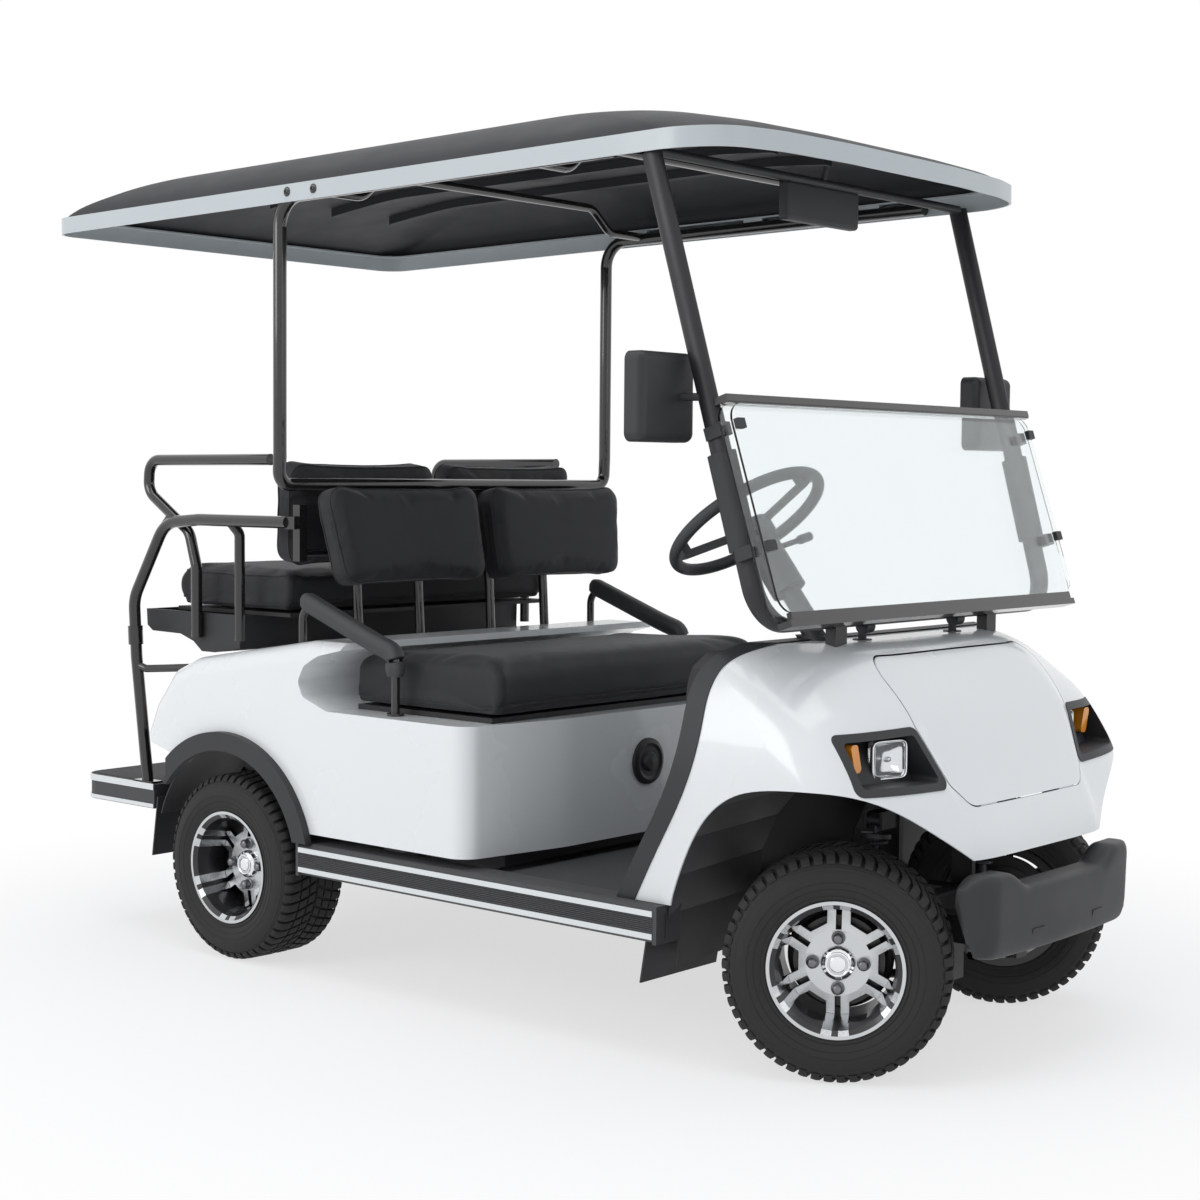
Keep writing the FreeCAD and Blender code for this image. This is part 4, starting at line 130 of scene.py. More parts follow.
def material(name, colour, rough, metal=0.0, coat=0.0, coat_rough=0.08, specular=0.5, sheen=0.0, mottle=0.0,
             mottle_scale=6.0, rough_vary=0.06, grain=None, fine=None, transmission=0.0, ior=1.45):
    """A principled material: a colour that varies a little, varied roughness, and one or two bumps.
    grain and fine are (kind, scale, depth in metres)."""
    mat = bpy.data.materials.new(name)
    n, l = nodes_of(mat)
    shader = n["Principled BSDF"]
    shader.inputs["Metallic"].default_value = metal
    shader.inputs["Coat Weight"].default_value = coat
    shader.inputs["Coat Roughness"].default_value = coat_rough
    shader.inputs["Specular IOR Level"].default_value = specular
    shader.inputs["Sheen Weight"].default_value = sheen
    shader.inputs["Transmission Weight"].default_value = transmission
    shader.inputs["IOR"].default_value = ior
    place = n.new("ShaderNodeTexCoord")
    cloud = n.new("ShaderNodeTexNoise")
    cloud.inputs["Scale"].default_value = mottle_scale
    cloud.inputs["Detail"].default_value = 5
    l.new(place.outputs["Object"], cloud.inputs["Vector"])
    mix = n.new("ShaderNodeMix")
    mix.data_type = "RGBA"
    low = [c * (1 - mottle) for c in colour[:3]]
    high = [min(1, c * (1 + mottle)) for c in colour[:3]]
    mix.inputs["A"].default_value = (*low, 1)
    mix.inputs["B"].default_value = (*high, 1)
    l.new(cloud.outputs["Fac"], mix.inputs["Factor"])
    l.new(mix.outputs["Result"], shader.inputs["Base Color"])
    span = n.new("ShaderNodeMapRange")
    span.inputs["From Min"].default_value = 0.3
    span.inputs["From Max"].default_value = 0.7
    span.inputs["To Min"].default_value = max(0.02, rough - rough_vary)
    span.inputs["To Max"].default_value = min(1, rough + rough_vary)
    l.new(cloud.outputs["Fac"], span.inputs["Value"])
    l.new(span.outputs["Result"], shader.inputs["Roughness"])
    last = None
    for spec in (grain, fine):
        if spec is None:
            continue
        kind, scale, depth = spec
        if kind == "cells":
            tex = n.new("ShaderNodeTexVoronoi")
            tex.feature = "DISTANCE_TO_EDGE"
            out = tex.outputs["Distance"]
        elif kind == "weave":
            tex = n.new("ShaderNodeTexWave")
            tex.inputs["Distortion"].default_value = 1.5
            out = tex.outputs["Fac"]
        else:
            tex = n.new("ShaderNodeTexNoise")
            tex.inputs["Detail"].default_value = 3
            out = tex.outputs["Fac"]
        tex.inputs["Scale"].default_value = scale
        l.new(place.outputs["Object"], tex.inputs["Vector"])
        bump = n.new("ShaderNodeBump")
        bump.inputs["Distance"].default_value = depth
        bump.inputs["Strength"].default_value = 0.6
        l.new(out, bump.inputs["Height"])
        if last is not None:
            l.new(last.outputs["Normal"], bump.inputs["Normal"])
        last = bump
    if last is not None:
        l.new(last.outputs["Normal"], shader.inputs["Normal"])
    return mat


MATS = {
    "body_white": material("body_white", (0.86, 0.87, 0.875), 0.26, coat=0.5, coat_rough=0.06, mottle=0.012,
                           mottle_scale=2.2, grain=("noise", 5, 0.0006)),
    "roof_black": material("roof_black", (0.028, 0.029, 0.033), 0.62, mottle=0.2, mottle_scale=9,
                           grain=("cells", 260, 0.0008)),
    "band_grey": material("band_grey", (0.55, 0.585, 0.6), 0.36, coat=0.2, mottle=0.03,
                          grain=("noise", 300, 0.0001)),
    "frame_black": material("frame_black", (0.018, 0.018, 0.019), 0.5, mottle=0.35, mottle_scale=14,
                            grain=("noise", 160, 0.0003)),
    "spring_steel": material("spring_steel", (0.05, 0.05, 0.055), 0.42, metal=0.5, mottle=0.3,
                             mottle_scale=22),
    "tube_black": material("tube_black", (0.012, 0.0115, 0.011), 0.2, coat=0.7, coat_rough=0.05, mottle=0.2,
                           grain=("noise", 60, 0.0001)),
    "pillar_black": material("pillar_black", (0.02, 0.02, 0.022), 0.4, mottle=0.15,
                             grain=("noise", 400, 0.0001)),
    "moulded_black": material("moulded_black", (0.028, 0.029, 0.031), 0.52, mottle=0.15,
                              grain=("cells", 700, 0.0002)),
    "dash_black": material("dash_black", (0.022, 0.022, 0.024), 0.58, mottle=0.15,
                           grain=("cells", 500, 0.0003)),
    "sill_black": material("sill_black", (0.06, 0.06, 0.063), 0.55, mottle=0.2, grain=("cells", 600, 0.0002)),
    "floor_black": material("floor_black", (0.03, 0.03, 0.031), 0.6, mottle=0.2,
                            grain=("noise", 200, 0.0002)),
    "mat_rubber": material("mat_rubber", (0.055, 0.058, 0.06), 0.78, mottle=0.25, mottle_scale=18,
                           grain=("cells", 120, 0.0012)),
    "bright_trim": material("bright_trim", (0.74, 0.77, 0.79), 0.28, metal=0.85, mottle=0.05,
                            grain=("noise", 500, 0.0001)),
    "clear_pane": material("clear_pane", (0.93, 0.96, 0.965), 0.03, mottle=0.01, rough_vary=0.01,
                           transmission=1.0,
                           ior=1.46),
    "lamp_clear": material("lamp_clear", (0.95, 0.97, 0.98), 0.05, rough_vary=0.02, transmission=0.9,
                           ior=1.4),
    "lamp_amber": material("lamp_amber", (0.93, 0.32, 0.02), 0.2, coat=0.6, mottle=0.08, mottle_scale=60),
    "lamp_red": material("lamp_red", (0.5, 0.012, 0.012), 0.18, coat=0.6, mottle=0.1, mottle_scale=60,
                         grain=("cells", 180, 0.0006)),
    "mirror": material("mirror", (0.86, 0.88, 0.9), 0.03, metal=1.0, rough_vary=0.01),
    "seat_vinyl": material("seat_vinyl", (0.02, 0.0205, 0.022), 0.62, specular=0.35, sheen=0.12, mottle=0.3,
                           mottle_scale=40, grain=("cells", 420, 0.0005), fine=("noise", 1500, 0.0002)),
    "grip_foam": material("grip_foam", (0.045, 0.047, 0.05), 0.55, mottle=0.15, mottle_scale=30,
                          grain=("cells", 900, 0.0002)),
    "battery": material("battery", (0.04, 0.04, 0.045), 0.5, mottle=0.1),
    "tyre": material("tyre", (0.03, 0.029, 0.028), 0.72, specular=0.35, mottle=0.25, mottle_scale=12,
                     grain=("noise", 700, 0.0003)),
    "chrome": material("chrome", (0.82, 0.83, 0.85), 0.08, metal=1.0, mottle=0.02, rough_vary=0.03),
    "dark_steel": material("dark_steel", (0.2, 0.2, 0.21), 0.35, metal=0.9, mottle=0.15, mottle_scale=80),
    "stitch": material("stitch", (0.035, 0.035, 0.038), 0.7, mottle=0.2, mottle_scale=200),
}


def shade_smooth(thing, angle=35):
    for face in thing.data.polygons:
        face.use_smooth = True
    mesh = thing.data
    mesh.set_sharp_from_angle(angle=math.radians(angle))


def piece(name, mesh, slot, body="cart", smooth=35, mat=None):
    """A finished piece of the scene: its material, looked up by slot unless mat names another, and the body
    it rides on.
    """
    thing = new_object(name, mesh) if isinstance(mesh, bpy.types.Mesh) else mesh
    thing.name = name
    thing.data.materials.clear()
    thing.data.materials.append(MATS[mat or slot])
    if smooth:
        shade_smooth(thing, smooth)
    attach(thing, body)
    return thing


def mesh_of(name, verts, faces):
    mesh = bpy.data.meshes.new(name)
    mesh.from_pydata([tuple(v) for v in verts], [], faces)
    mesh.validate()
    mesh.update()
    bm = bmesh.new()
    bm.from_mesh(mesh)
    bmesh.ops.recalc_face_normals(bm, faces=bm.faces)
    bm.to_mesh(mesh)
    bm.free()
    return mesh


for part in frame["record"]["subparts"]:
    node = NODES[part["node"]]
    look = MATS.get(part["material_slot"])
    if look is not None:
        for place in node.material_slots:
            place.material = look

# wheels

# each wheel's centre, and the turn in degrees that points its outer face the right way
TYRE_RADIUS = 0.229
STEERED = 30
WHEELS = {
    "front_right": ((1.0175, -0.389952, TYRE_RADIUS), STEERED + 180),
    "front_left": ((0.9425, 0.389952, TYRE_RADIUS), STEERED),
    "rear_right": ((-0.65, -0.495, TYRE_RADIUS), 180),
    "rear_left": ((-0.65, 0.495, TYRE_RADIUS), 0),
}


def alloy(name, centre, turn):
    """Machined face and lip, black paint elsewhere, bright nuts and cap, told apart by place and slope."""
    mat = bpy.data.materials.new(name)
    n, l = nodes_of(mat)
    shader = n["Principled BSDF"]
    place = n.new("ShaderNodeTexCoord")

    def vec_math(op, a, b=None):
        node = n.new("ShaderNodeVectorMath")
        node.operation = op
        l.new(a, node.inputs[0])
        if b is not None:
            node.inputs[1].default_value = b
        return node.outputs["Value"] if op in ("DOT_PRODUCT", "LENGTH") else node.outputs["Vector"]

    def calc(op, a, b=None, c=None):
        node = n.new("ShaderNodeMath")
        node.operation = op
        for k, item in enumerate((a, b, c)):
            if item is None:
                continue
            if isinstance(item, (int, float)):
                node.inputs[k].default_value = item
            else:
                l.new(item, node.inputs[k])
        return node.outputs[0]

    angle = math.radians(turn)
    out = (-math.sin(angle), math.cos(angle), 0)
    flat = (math.cos(angle), math.sin(angle), 0)
    local = vec_math("SUBTRACT", place.outputs["Object"], centre)
    depth = vec_math("DOT_PRODUCT", local, out)
    side = vec_math("DOT_PRODUCT", local, flat)
    rise = vec_math("DOT_PRODUCT", local, (0, 0, 1))
    slope = vec_math("DOT_PRODUCT", place.outputs["Normal"], out)
    radius = calc("SQRT", calc("ADD", calc("MULTIPLY", side, side), calc("MULTIPLY", rise, rise)))
    turn_share = calc("FRACT", calc("ADD", calc("MULTIPLY", calc("ARCTAN2", rise, side), 6 / math.tau), 3.0))
    off_spoke = calc("ABSOLUTE", calc("SUBTRACT", turn_share, 0.5))
    face = calc("MULTIPLY", calc("GREATER_THAN", slope, 0.8), calc("GREATER_THAN", depth, 0.012))
    lip = calc("MULTIPLY", calc("GREATER_THAN", radius, 0.1312), calc("GREATER_THAN", depth, 0.08))
    beside_slot = calc("MULTIPLY", calc("LESS_THAN", off_spoke, 0.21), calc("GREATER_THAN", off_spoke, 0.05))
    patch = calc("MULTIPLY", beside_slot,
                 calc("MULTIPLY", calc("GREATER_THAN", radius, 0.1045), calc("GREATER_THAN", depth, 0.019)))
    hardware = calc("GREATER_THAN", depth, 0.0245)
    cap = calc("MULTIPLY", hardware, calc("LESS_THAN", radius, 0.037))
    nut = calc("MULTIPLY", calc("SUBTRACT", hardware, cap), calc("LESS_THAN", radius, 0.068))
    shine = calc("MAXIMUM", calc("MAXIMUM", face, lip), calc("MAXIMUM", patch, cap))
    bright = calc("MULTIPLY", shine, calc("SUBTRACT", 1.0, calc("MULTIPLY", nut, 0.82)))
    colour = n.new("ShaderNodeMix")
    colour.data_type = "RGBA"
    colour.inputs["A"].default_value = (0.012, 0.012, 0.013, 1)
    colour.inputs["B"].default_value = (0.6, 0.615, 0.63, 1)
    l.new(bright, colour.inputs["Factor"])
    l.new(colour.outputs["Result"], shader.inputs["Base Color"])
    l.new(calc("MAXIMUM", shine, nut), shader.inputs["Metallic"])
    cloud = n.new("ShaderNodeTexNoise")
    cloud.inputs["Scale"].default_value = 45
    l.new(place.outputs["Object"], cloud.inputs["Vector"])
    base_rough = calc("SUBTRACT", 0.42, calc("MULTIPLY", bright, 0.2))
    vary = calc("MULTIPLY", calc("SUBTRACT", cloud.outputs["Fac"], 0.5), 0.16)
    l.new(calc("ADD", base_rough, vary), shader.inputs["Roughness"])
    rings = calc("SINE", calc("MULTIPLY", radius, 7000))
    bump = n.new("ShaderNodeBump")
    bump.inputs["Distance"].default_value = 0.00008
    bump.inputs["Strength"].default_value = 0.5
    l.new(calc("MULTIPLY", rings, bright), bump.inputs["Height"])
    l.new(bump.outputs["Normal"], shader.inputs["Normal"])
    shader.inputs["Coat Weight"].default_value = 0.3
    shader.inputs["Coat Roughness"].default_value = 0.12
    return mat


# the tyre's outline: (distance from the middle plane, radius), then its crown
TYRE_SIDE = [(-0.0872, 0.1275), (-0.0876, 0.1352), (-0.0905, 0.1385), (-0.0935, 0.1420), (-0.0945, 0.1462),
             (-0.0928, 0.1482), (-0.0936, 0.1500), (-0.0975, 0.1585), (-0.1008, 0.1690), (-0.1018, 0.1780),
             (-0.1008, 0.1865), (-0.0985, 0.1950), (-0.0950, 0.2028), (-0.0948, 0.2040), (-0.0936, 0.2044),
             (-0.0905, 0.2085), (-0.0872, 0.2120), (-0.0815, 0.2160), (-0.0740, 0.2190), (-0.0560, 0.2212),
             (-0.0300, 0.2224), (0, 0.2228)]
TREAD = 0.0062
RING_STEPS = 144
PITCHES = 54
# rows of tread blocks on one side of the middle: (inner edge, outer edge, share of the pitch left as groove)
TREAD_ROWS = [(0.0035, 0.0215, 0.30), (0.0262, 0.0475, 0.30), (0.0520, 0.0900, 0.42)]
# fine raised rings on the sidewall: (distance from the middle plane, radius, half width)
SIDE_RINGS = [(0.0990, 0.1622, 0.0012), (0.1018, 0.1760, 0.0010), (0.0966, 0.1985, 0.0012)]


def crown(y):
    """The tread's outer radius across the tyre."""
    a = abs(y)
    if a < 0.078:
        return 0.2290 - 0.0012 * (a / 0.078) ** 2
    return 0.2278 - 0.62 * (a - 0.078) - 14.0 * (a - 0.078) ** 2


def tyre_mesh():
    verts, faces = [], []
    ring = TYRE_SIDE + [(-y, r) for y, r in reversed(TYRE_SIDE[:-1])]
    count = RING_STEPS
    for k in range(count):
        a = math.tau * k / count
        for y, r in ring:
            verts.append((r * math.cos(a), y, r * math.sin(a)))
    m = len(ring)
    for k in range(count):
        for j in range(m - 1):
            a, b = k * m + j, ((k + 1) % count) * m + j
            faces.append((a, a + 1, b + 1, b))
        faces.append((k * m + m - 1, k * m, ((k + 1) % count) * m, ((k + 1) % count) * m + m - 1))
    step = math.tau / PITCHES

    def sweep(y):
        """How far round a groove has swept at a distance from the middle."""
        a = abs(y) / 0.1
        return step * (2.1 * a - 1.1 * a * a)

    for side in (-1, 1):
        for number, (y0, y1, gap) in enumerate(TREAD_ROWS):
            cross = 7 if number == 2 else 4
            for k in range(PITCHES):
                start = k * step + (0.5 * step if side > 0 else 0)
                top, low = [], []
                for j in range(cross + 1):
                    y = y0 + (y1 - y0) * j / cross
                    narrow = gap if number < 2 else gap * (0.55 + 0.25 * j / cross)
                    first = start + sweep(y) + step * 0.5 * narrow
                    last = start + sweep(y) + step * (1 - 0.5 * narrow)
                    for i in range(4):
                        a = first + (last - first) * i / 3
                        edge = 0.0009 if i in (0, 3) or j in (0, cross) else 0
                        height = crown(y) - edge
                        if j == cross and number == 2:
                            height = crown(y) - 0.0022
                        base = crown(y) - TREAD - 0.001
                        top.append((height * math.cos(a), side * y, height * math.sin(a)))
                        low.append((base * math.cos(a), side * y, base * math.sin(a)))
                base_index = len(verts)
                verts.extend(top + low)
                size = len(top)
                for j in range(cross):
                    for i in range(3):
                        a = base_index + j * 4 + i
                        faces.append((a, a + 1, a + 5, a + 4))
                rim = [j * 4 for j in range(cross + 1)] + [cross * 4 + i for i in (1, 2, 3)]
                rim += [j * 4 + 3 for j in range(cross - 1, -1, -1)] + [2, 1]
                for q, a in enumerate(rim):
                    b = rim[(q + 1) % len(rim)]
                    faces.append((base_index + a, base_index + b, base_index + size + b,
                                  base_index + size + a))
    for side in (-1, 1):
        for y, r, wide in SIDE_RINGS:
            base_index = len(verts)
            for k in range(count):
                a = math.tau * k / count
                for dy, dr in ((-0.0010, -wide), (0.0006, 0), (-0.0010, wide)):
                    verts.append(((r + dr) * math.cos(a), side * (y + dy), (r + dr) * math.sin(a)))
            for k in range(count):
                for j in range(2):
                    a, b = base_index + k * 3 + j, base_index + ((k + 1) % count) * 3 + j
                    faces.append((a, a + 1, b + 1, b))
    return mesh_of("tyre", verts, faces)


tyre_base = tyre_mesh()
for where, (centre, turn) in WHEELS.items():
    mesh = tyre_base.copy()
    mesh.transform(Matrix.Translation(centre) @ Matrix.Rotation(math.radians(turn), 4, "Z"))
    tyre = piece("road_tyre_" + where, mesh, "tyre", "wheel_" + where, 28)
    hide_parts("tyre_" + where)
    rim = NODES["rim_" + where]
    look = alloy("alloy_" + where, centre, turn)
    for place in rim.material_slots:
        place.material = look

NUT_CIRCLE = 0.0508
WHEEL_FACE = 0.024


def lathed(profile, at=(0.0, 0.0), sides=24):
    """(radius, height) points turned round the wheel's own axis, at a place on its face."""
    verts = [(at[0] + r * math.cos(math.tau * k / sides), h, at[1] + r * math.sin(math.tau * k / sides))
             for r, h in profile for k in range(sides)]
    faces = []
    for j in range(len(profile) - 1):
        for k in range(sides):
            n = (k + 1) % sides
            faces.append((j * sides + k, j * sides + n, (j + 1) * sides + n, (j + 1) * sides + k))
    faces.append(tuple(range(sides)))
    faces.append(tuple(range((len(profile) - 1) * sides, len(profile) * sides)))
    return verts, faces


def joined(name, lumps):
    verts, faces = [], []
    for v, f in lumps:
        faces += [tuple(i + len(verts) for i in face) for face in f]
        verts += v
    return mesh_of(name, verts, faces)


# outlines turned round the wheel's axis: (radius, height above the wheel's face)
NUT = [(0.0138, -0.0005), (0.0138, 0.0022), (0.0126, 0.0034), (0.0112, 0.0036), (0.0112, 0.0150),
       (0.0108, 0.0166), (0.0098, 0.0188), (0.0080, 0.0206), (0.0054, 0.0218), (0.0022, 0.0223)]
CAP_RING = [(0.0208, 0.0140), (0.0208, 0.0162), (0.0216, 0.0170), (0.0232, 0.0172), (0.0246, 0.0166),
            (0.0252, 0.0148), (0.0296, 0.0122), (0.0322, 0.0100), (0.0346, 0.0050), (0.0350, -0.0005)]
CAP_DISC = [(0.0166, 0.0146), (0.0166, 0.0158), (0.0158, 0.0168), (0.0120, 0.0176), (0.0060, 0.0181),
            (0.0016, 0.0182)]
# the dark plate behind each brake drum
BACKING_DEPTH = -0.0525
BACKING_PLATE = [(0.1080, 0.0), (0.1080, 0.0030), (0.1055, 0.0045), (0.0900, 0.0045), (0.0880, 0.0030),
                 (0.0200, 0.0030)]
for where, (centre, turn) in WHEELS.items():
    at_wheel = Matrix.Translation(centre) @ Matrix.Rotation(math.radians(turn), 4, "Z")
    at_wheel = at_wheel @ Matrix.Translation((0, WHEEL_FACE, 0))
    nuts = [lathed(NUT, (NUT_CIRCLE * math.cos(a), NUT_CIRCLE * math.sin(a)))
            for a in (0, 0.5 * math.pi, math.pi, 1.5 * math.pi)]
    bright_pieces = (("wheel_nuts_", nuts, "dark_steel"),
                     ("cap_ring_", [lathed(CAP_RING, sides=48)], "chrome"),
                     ("cap_disc_", [lathed(CAP_DISC, sides=48)], "chrome"))
    for name, lumps, look in bright_pieces:
        mesh = joined(name, lumps)
        mesh.transform(at_wheel)
        piece(name + where, mesh, "cast_wheel", "wheel_" + where, 40, mat=look)
    carrier = "knuckle_" + where.split("_")[1] if where.startswith("front") else "cart"
    plate = joined("backing", [lathed(BACKING_PLATE, sides=64)])
    plate.transform(at_wheel @ Matrix.Translation((0, BACKING_DEPTH - WHEEL_FACE, 0)))
    piece("brake_plate_" + where, plate, "frame_black", carrier, 40)

# soft seats


def copied(node, name):
    mesh = NODES[node].data.copy()
    thing = new_object(name, mesh)
    return thing


def loose_parts(thing):
    """Splits an object into one object for each connected lump."""
    bpy.context.view_layer.objects.active = thing
    bpy.ops.object.select_all(action="DESELECT")
    thing.select_set(True)
    bpy.ops.object.mode_set(mode="EDIT")
    bpy.ops.mesh.select_all(action="SELECT")
    bpy.ops.mesh.remove_doubles(threshold=0.00005)
    bpy.ops.mesh.separate(type="LOOSE")
    bpy.ops.object.mode_set(mode="OBJECT")

    def across(lump):
        return sum(v.co.y for v in lump.data.vertices) / len(lump.data.vertices)

    return sorted(bpy.context.selected_objects, key=across)


def shrink(thing, amount):
    """Draws a closed form inward on every side."""
    co = [v.co.copy() for v in thing.data.vertices]
    low = Vector([min(c[i] for c in co) for i in range(3)])
    high = Vector([max(c[i] for c in co) for i in range(3)])
    mid = (low + high) / 2
    for v in thing.data.vertices:
        for i in range(3):
            half = (high[i] - low[i]) / 2
            v.co[i] = mid[i] + (v.co[i] - mid[i]) * (half - amount[i]) / half


def active(thing):
    bpy.ops.object.select_all(action="DESELECT")
    bpy.context.view_layer.objects.active = thing
    thing.select_set(True)


def remeshed(thing, voxel):
    active(thing)
    mod = thing.modifiers.new("voxel", "REMESH")
    mod.mode = "VOXEL"
    mod.voxel_size = voxel
    bpy.ops.object.modifier_apply(modifier=mod.name)
    mod = thing.modifiers.new("even", "SMOOTH")
    mod.factor = 0.5
    mod.iterations = 4
    bpy.ops.object.modifier_apply(modifier=mod.name)


def inflated(thing, cap, pressure=4.0, pin=None):
    """Lets the cover swell under pressure as cloth, no point moving more than cap metres from its place."""
    start = [v.co.copy() for v in thing.data.vertices]
    if pin is not None:
        group = thing.vertex_groups.new(name="held")
        group.add([v.index for v in thing.data.vertices if pin(v.co)], 1.0, "REPLACE")
    mod = thing.modifiers.new("cloth", "CLOTH")
    cloth = mod.settings
    cloth.quality = 4
    cloth.mass = 0.25
    cloth.tension_stiffness = 18
    cloth.compression_stiffness = 14
    cloth.shear_stiffness = 8
    cloth.bending_stiffness = 1.2
    cloth.use_pressure = True
    cloth.uniform_pressure_force = pressure
    cloth.effector_weights.gravity = 0
    if pin is not None:
        cloth.vertex_group_mass = "held"
    mod.collision_settings.use_collision = False
    for number in range(1, 21):
        bpy.context.scene.frame_set(number)
    seen_mesh = thing.evaluated_get(bpy.context.evaluated_depsgraph_get()).to_mesh()
    ends = [v.co.copy() for v in seen_mesh.vertices]
    thing.modifiers.remove(mod)
    bpy.context.scene.frame_set(1)
    for v, a, b in zip(thing.data.vertices, start, ends):
        move = b - a
        if move.length > cap:
            move *= cap / move.length
        v.co = a + move
    thing.data.update()


def ruffled(thing, depth, scale, seed):
    """Small soft waves along the normals, as stretched cover has."""
    normals = [v.normal.copy() for v in thing.data.vertices]
    for v, normal in zip(thing.data.vertices, normals):
        wave = noise.noise(v.co * scale + Vector((seed, 0, 0))) * depth
        wave += noise.noise(v.co * scale * 3.1 + Vector((0, seed, 0))) * depth * 0.35
        v.co += normal * wave


def subdivided(thing):
    active(thing)
    mod = thing.modifiers.new("fine", "SUBSURF")
    mod.levels = mod.render_levels = 1
    bpy.ops.object.modifier_apply(modifier=mod.name)


def tube_mesh(name, points, radius, sides=8, closed=False):
    """A round strip along points, as a mesh."""
    verts, faces = [], []
    count = len(points)
    last_side = None
    for k, point in enumerate(points):
        before = points[k - 1] if k or closed else points[k]
        after = points[(k + 1) % count] if k + 1 < count or closed else points[k]
        along = (Vector(after) - Vector(before)).normalized()
        if last_side is None:
            aside = along.cross(Vector((0.31, 0.17, 0.93))).normalized()
        else:
            aside = (last_side - along * last_side.dot(along)).normalized()
        last_side = aside
        other = along.cross(aside)
        for j in range(sides):
            a = math.tau * j / sides
            verts.append(Vector(point) + aside * math.cos(a) * radius + other * math.sin(a) * radius)
    loops = count if closed else count - 1
    for k in range(loops):
        for j in range(sides):
            a, b = k * sides + j, k * sides + (j + 1) % sides
            c, e = ((k + 1) % count) * sides + j, ((k + 1) % count) * sides + (j + 1) % sides
            faces.append((a, b, e, c))
    if not closed:
        faces.append(tuple(range(sides)))
        faces.append(tuple(range((count - 1) * sides, count * sides)))
    return mesh_of(name, verts, faces)


def even(points, gap, closed=False):
    """Points at an even gap along a line of points."""
    line = [Vector(p) for p in points] + ([Vector(points[0])] if closed else [])
    out, carry = [line[0].copy()], 0.0
    for a, b in zip(line, line[1:]):
        length = (b - a).length
        at = gap - carry
        while at <= length:
            out.append(a.lerp(b, at / length))
            at += gap
        carry = length - (at - gap)
    if closed and (out[-1] - out[0]).length < gap * 0.5:
        out.pop()
    return out


def seam(owner, name, points, sink=0.0006, radius=0.0022, closed=True, slot="seat_vinyl", body="cart"):
    """A welt that follows a cushion's finished surface along points."""
    tree = BVHTree.FromObject(owner, bpy.context.evaluated_depsgraph_get())
    line = []
    for point in even(points, 0.008, closed):
        near, normal, _, _ = tree.find_nearest(point)
        line.append(near + normal * (radius - sink) * 0.5)
    for _ in range(2):
        if closed:
            line = [(line[k - 1] + line[k] * 2 + line[(k + 1) % len(line)]) / 4 for k in range(len(line))]
    return piece(name, tube_mesh(name, line, radius, 6, closed), slot, body, 60)


def cushion(node, names, voxel, cap, inset, pin=None, pressure=4.0, seed=1):
    """The soft form of each lump of a CAD cushion: shrunk, remeshed, inflated, capped and smoothed."""
    made = []
    for k, lump in enumerate(loose_parts(copied(node, node + "_soft"))):
        lump.name = names[k]
        shrink(lump, inset)
        remeshed(lump, voxel)
        inflated(lump, cap, pressure, pin)
        ruffled(lump, 0.0014, 7, seed + k * 3.7)
        subdivided(lump)
        lump = piece(names[k], lump, "seat_vinyl", smooth=80)
        made.append(lump)
    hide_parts(node)
    return made


SEAT_INSET = (0.006, 0.006, 0.006)
bench = cushion("front_seat_cushion", ["bench_cushion"], 0.011, 0.014, SEAT_INSET, seed=2,
                pin=lambda c: c.z < 0.662)[0]
rear_seat = cushion("rear_seat_cushion", ["rear_cushion"], 0.010, 0.012, SEAT_INSET, seed=5,
                    pin=lambda c: c.z < 0.860)[0]
BACK_INSET = (0.005, 0.006, 0.006)
fronts = cushion("front_backrests", ["front_back_right", "front_back_left"], 0.008, 0.012, BACK_INSET, seed=8)
rears = cushion("rear_backrests", ["rear_back_right", "rear_back_left"], 0.008, 0.012, BACK_INSET, seed=11)

# welts and stitches of the seats


def round_loop(corners, radius, steps=6):
    """A closed polygon of 2D corners with rounded corners."""
    out = []
    count = len(corners)
    for k in range(count):
        here = Vector(corners[k])
        a = (Vector(corners[k - 1]) - here)
        b = (Vector(corners[(k + 1) % count]) - here)
        cut_back = min(radius, a.length * 0.45, b.length * 0.45)
        start, end = here + a.normalized() * cut_back, here + b.normalized() * cut_back
        for i in range(steps + 1):
            t = i / steps
            out.append((1 - t) ** 2 * start + 2 * t * (1 - t) * here + t * t * end)
    return out


def stitches(owner, name, points, offset, slot="seat_vinyl", body="cart"):
    """A row of short threads beside a welt."""
    tree = BVHTree.FromObject(owner, bpy.context.evaluated_depsgraph_get())
    verts, faces = [], []
    line = even([Vector(p) + Vector(offset) for p in points], 0.0065, True)
    for k in range(0, len(line) - 1):
        near, normal, _, _ = tree.find_nearest(line[k])
        ahead_near, _, _, _ = tree.find_nearest(line[k + 1])
        along = ahead_near - near
        if along.length < 0.003:
            continue
        end = near + along * 0.62
        side = along.normalized().cross(normal) * 0.00055
        lift = normal * 0.0005
        base = len(verts)
        verts += [near - side - lift, near + side - lift, end + side - lift, end - side - lift,
                  near - side * 0.6 + lift, near + side * 0.6 + lift, end + side * 0.6 + lift,
                  end - side * 0.6 + lift]
        faces += [(base, base + 1, base + 5, base + 4), (base + 1, base + 2, base + 6, base + 5),
                  (base + 2, base + 3, base + 7, base + 6), (base + 3, base, base + 4, base + 7),
                  (base + 4, base + 5, base + 6, base + 7)]
    return piece(name, mesh_of(name, verts, faces), slot, body, 0, mat="stitch")


def back_loop(low, high, outer_low, outer_high, depth):
    """A seat back's welt: round its outline at a depth behind its face, before it is tilted."""
    near = 0.018
    top = high - low - 0.012
    corners = [(-near, 0.012), (-(outer_low - 0.010), 0.010), (-(outer_high - 0.010), top), (-near, top)]
    return [Vector((depth, p[0], p[1])) for p in round_loop(corners, 0.046)]


